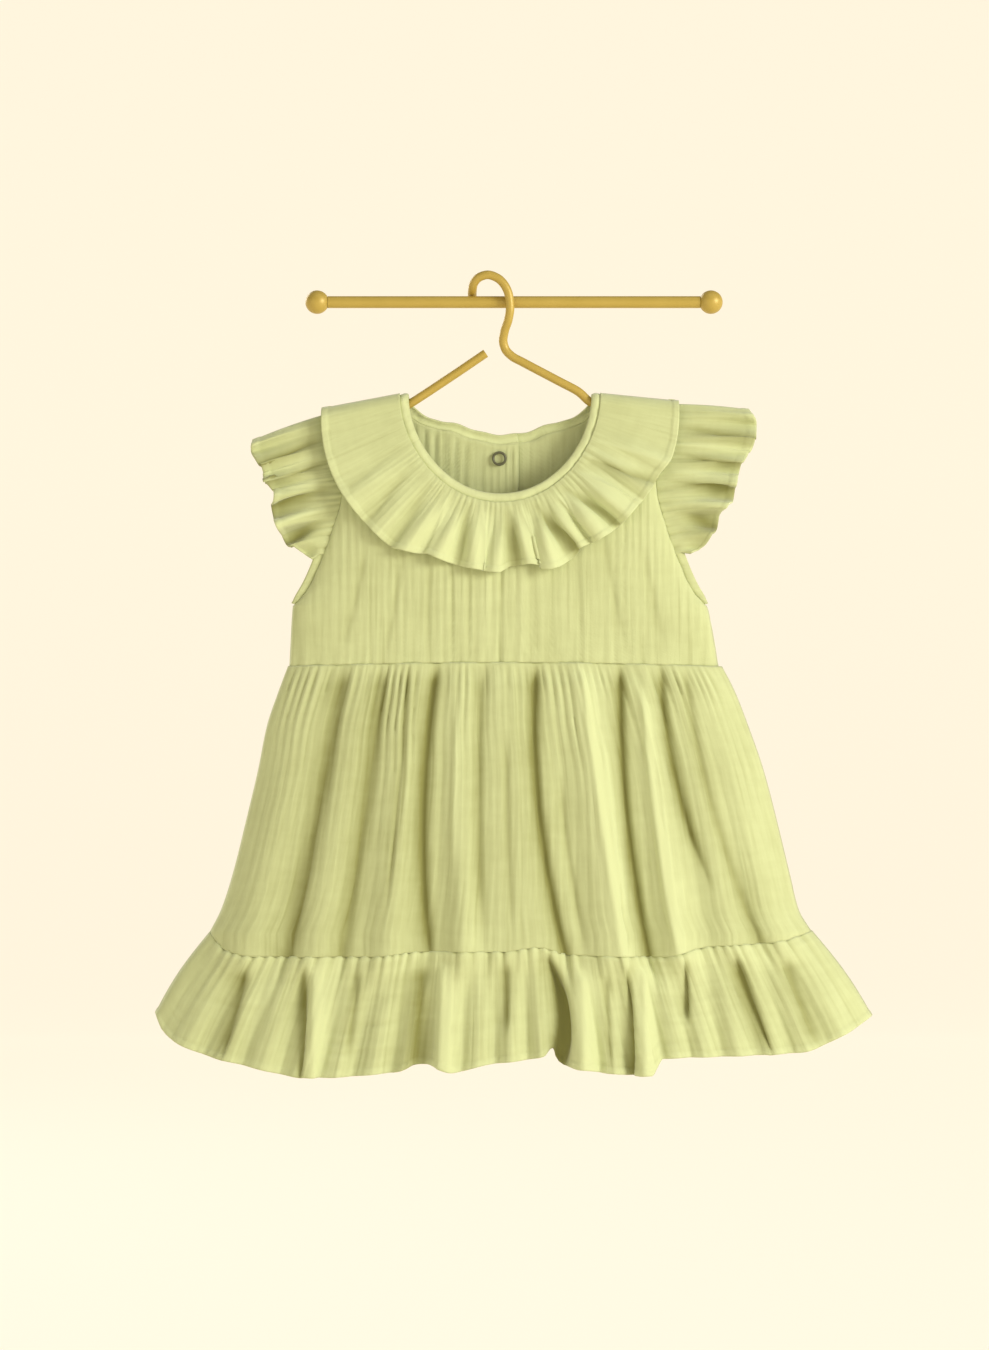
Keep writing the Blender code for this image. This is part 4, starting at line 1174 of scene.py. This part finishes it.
def makeRod():
    deselect()
    bpy.ops.mesh.primitive_cylinder_add(
        vertices=48, radius=metal["rodRadius"] * mm, depth=2 * metal["rodHalf"] * mm,
        rotation=(0, math.pi / 2, 0))
    settle(bpy.context.object, "rodBar", "rod", gold)
    hidden = math.sqrt(metal["ballRadius"] ** 2 - metal["rodRadius"] ** 2)
    seat = metal["rodHalf"] + seamGap + hidden
    for name, node, sign in (
            ("ballLeft", "rod_ball_left", -1), ("ballRight", "rod_ball_right", 1)):
        deselect()
        bpy.ops.mesh.primitive_uv_sphere_add(
            segments=48, ring_count=28, radius=metal["ballRadius"] * mm,
            location=(sign * seat * mm, 0, 0), rotation=(0, math.pi / 2, 0))
        settle(bpy.context.object, name, node, gold)


def makeSnap():
    def backDepth(z):
        return float(bodiceDepth("back", snap["x"], z))

    def at(y):
        return snap["x"] * mm, y * mm, snap["z"] * mm

    ringY = (backDepth(snap["z"] + snap["radius"])
             - snap["clothWall"] - snap["ringGap"] - snap["wire"])
    deselect()
    bpy.ops.mesh.primitive_torus_add(
        major_segments=56, minor_segments=16, major_radius=snap["radius"] * mm,
        minor_radius=snap["wire"] * mm, rotation=(math.pi / 2, 0, 0), location=at(ringY))
    settle(bpy.context.object, "snapRing", "snap_ring", snapPaint)
    outside = backDepth(snap["z"] - snap["capRadius"])
    capY = outside + lapStep + seamGap + snap["capHeight"] / 2
    deselect()
    bpy.ops.mesh.primitive_cylinder_add(
        vertices=56, radius=snap["capRadius"] * mm, depth=snap["capHeight"] * mm,
        rotation=(math.pi / 2, 0, 0), location=at(capY))
    cap = bpy.context.object
    edge = cap.modifiers.new("edge", "BEVEL")
    edge.width = snap["capEdge"] * mm
    edge.segments = 3
    bpy.ops.object.modifier_apply(modifier="edge")
    settle(cap, "snapCap", "snap_cap", snapPaint)


makeWire()
makeRod()
makeSnap()
print("wire, rod and snap ready")


# Pale sweep of floor and wall behind the dress, soft lights and the camera
room = {
    "floorZ": -0.78,
    "steps": 96,
    "centre": 0.02,
    "bend": 0.9,
    "radius": 5.0,
    "top": 1.7,
    "colour": (0.13, 0.12, 0.097),
    "glow": (0.91, 0.82, 0.66),
    "world": (1.0, 0.97, 0.9, 1.0),
    "worldStrength": 0.3,
    "cameraFrom": (-0.0124, -3.0, -0.237),
    "lens": 83.9,
    "lookAt": (0.0, 0.0, -0.25),
}

# Size, power, place and colour of each light
lights = {
    "key": ((1.0, 1.0), 56.0, (2.15, -1.55, 0.5), (1.0, 0.985, 0.95)),
    "fill": ((1.8, 1.8), 3.0, (-1.8, -2.0, 0.1), (0.98, 0.99, 1.0)),
    "top": ((1.6, 0.8), 3.0, (0.2, -0.6, 1.6), (1.0, 1.0, 0.98)),
    "behind": ((1.6, 1.6), 30.0, (-1.6, 2.2, 0.9), (1.0, 0.99, 0.97)),
}


def makeRoom():
    steps, bend, floor = room["steps"], room["bend"], room["floorZ"]
    flatTo = room["radius"] - bend
    profile = [(room["centre"], floor), (flatTo, floor)]
    profile += [(flatTo + bend * math.sin(t), floor + bend - bend * math.cos(t))
                for t in np.linspace(0.1, math.pi / 2, 12)]
    profile += [(room["radius"], room["top"])]
    points = [(r * math.cos(t), r * math.sin(t), z)
              for t in np.linspace(0, 2 * math.pi, steps, endpoint=False) for r, z in profile]
    count = len(profile)
    faces = []
    for turn in range(steps):
        here, following = turn * count, (turn + 1) % steps * count
        faces += [(here + i, here + i + 1, following + i + 1, following + i)
                  for i in range(count - 1)]
    faces.append([turn * count for turn in range(steps)])
    shape = bpy.data.meshes.new("sweep")
    shape.from_pydata(points, [], faces)
    shape.shade_smooth()
    paint, start, shader = surface("pale paper", room["colour"], 0.95)
    start.fill(shader, {"Emission Color": (*room["glow"], 1.0), "Emission Strength": 1.0})
    shape.materials.append(paint)
    add("sweep", shape)


def makeLight(name, size, power, place, colour):
    lamp = bpy.data.lights.new(name, "AREA")
    lamp.shape = "RECTANGLE"
    lamp.size, lamp.size_y = size
    lamp.energy = power
    lamp.color = colour
    made = add(name, lamp)
    made.location = place
    ahead = Vector(room["lookAt"]) - Vector(place)
    made.rotation_euler = ahead.to_track_quat("-Z", "Y").to_euler()


def makeCamera():
    lens = bpy.data.cameras.new("camera")
    lens.sensor_fit = "VERTICAL"
    lens.sensor_height = 24.0
    lens.lens = room["lens"]
    made = add("camera", lens)
    made.location = room["cameraFrom"]
    made.rotation_euler = (math.pi / 2, 0, 0)
    bpy.context.scene.camera = made


def makeWorld():
    world = bpy.data.worlds.new("soft light")
    world.use_nodes = True
    background = world.node_tree.nodes["Background"]
    background.inputs[0].default_value = room["world"]
    background.inputs[1].default_value = room["worldStrength"]
    bpy.context.scene.world = world


makeRoom()
for name, settings in lights.items():
    makeLight(name, *settings)
makeCamera()
makeWorld()
bpy.context.scene.view_settings.view_transform = "Standard"
print("stage, lights and camera ready")
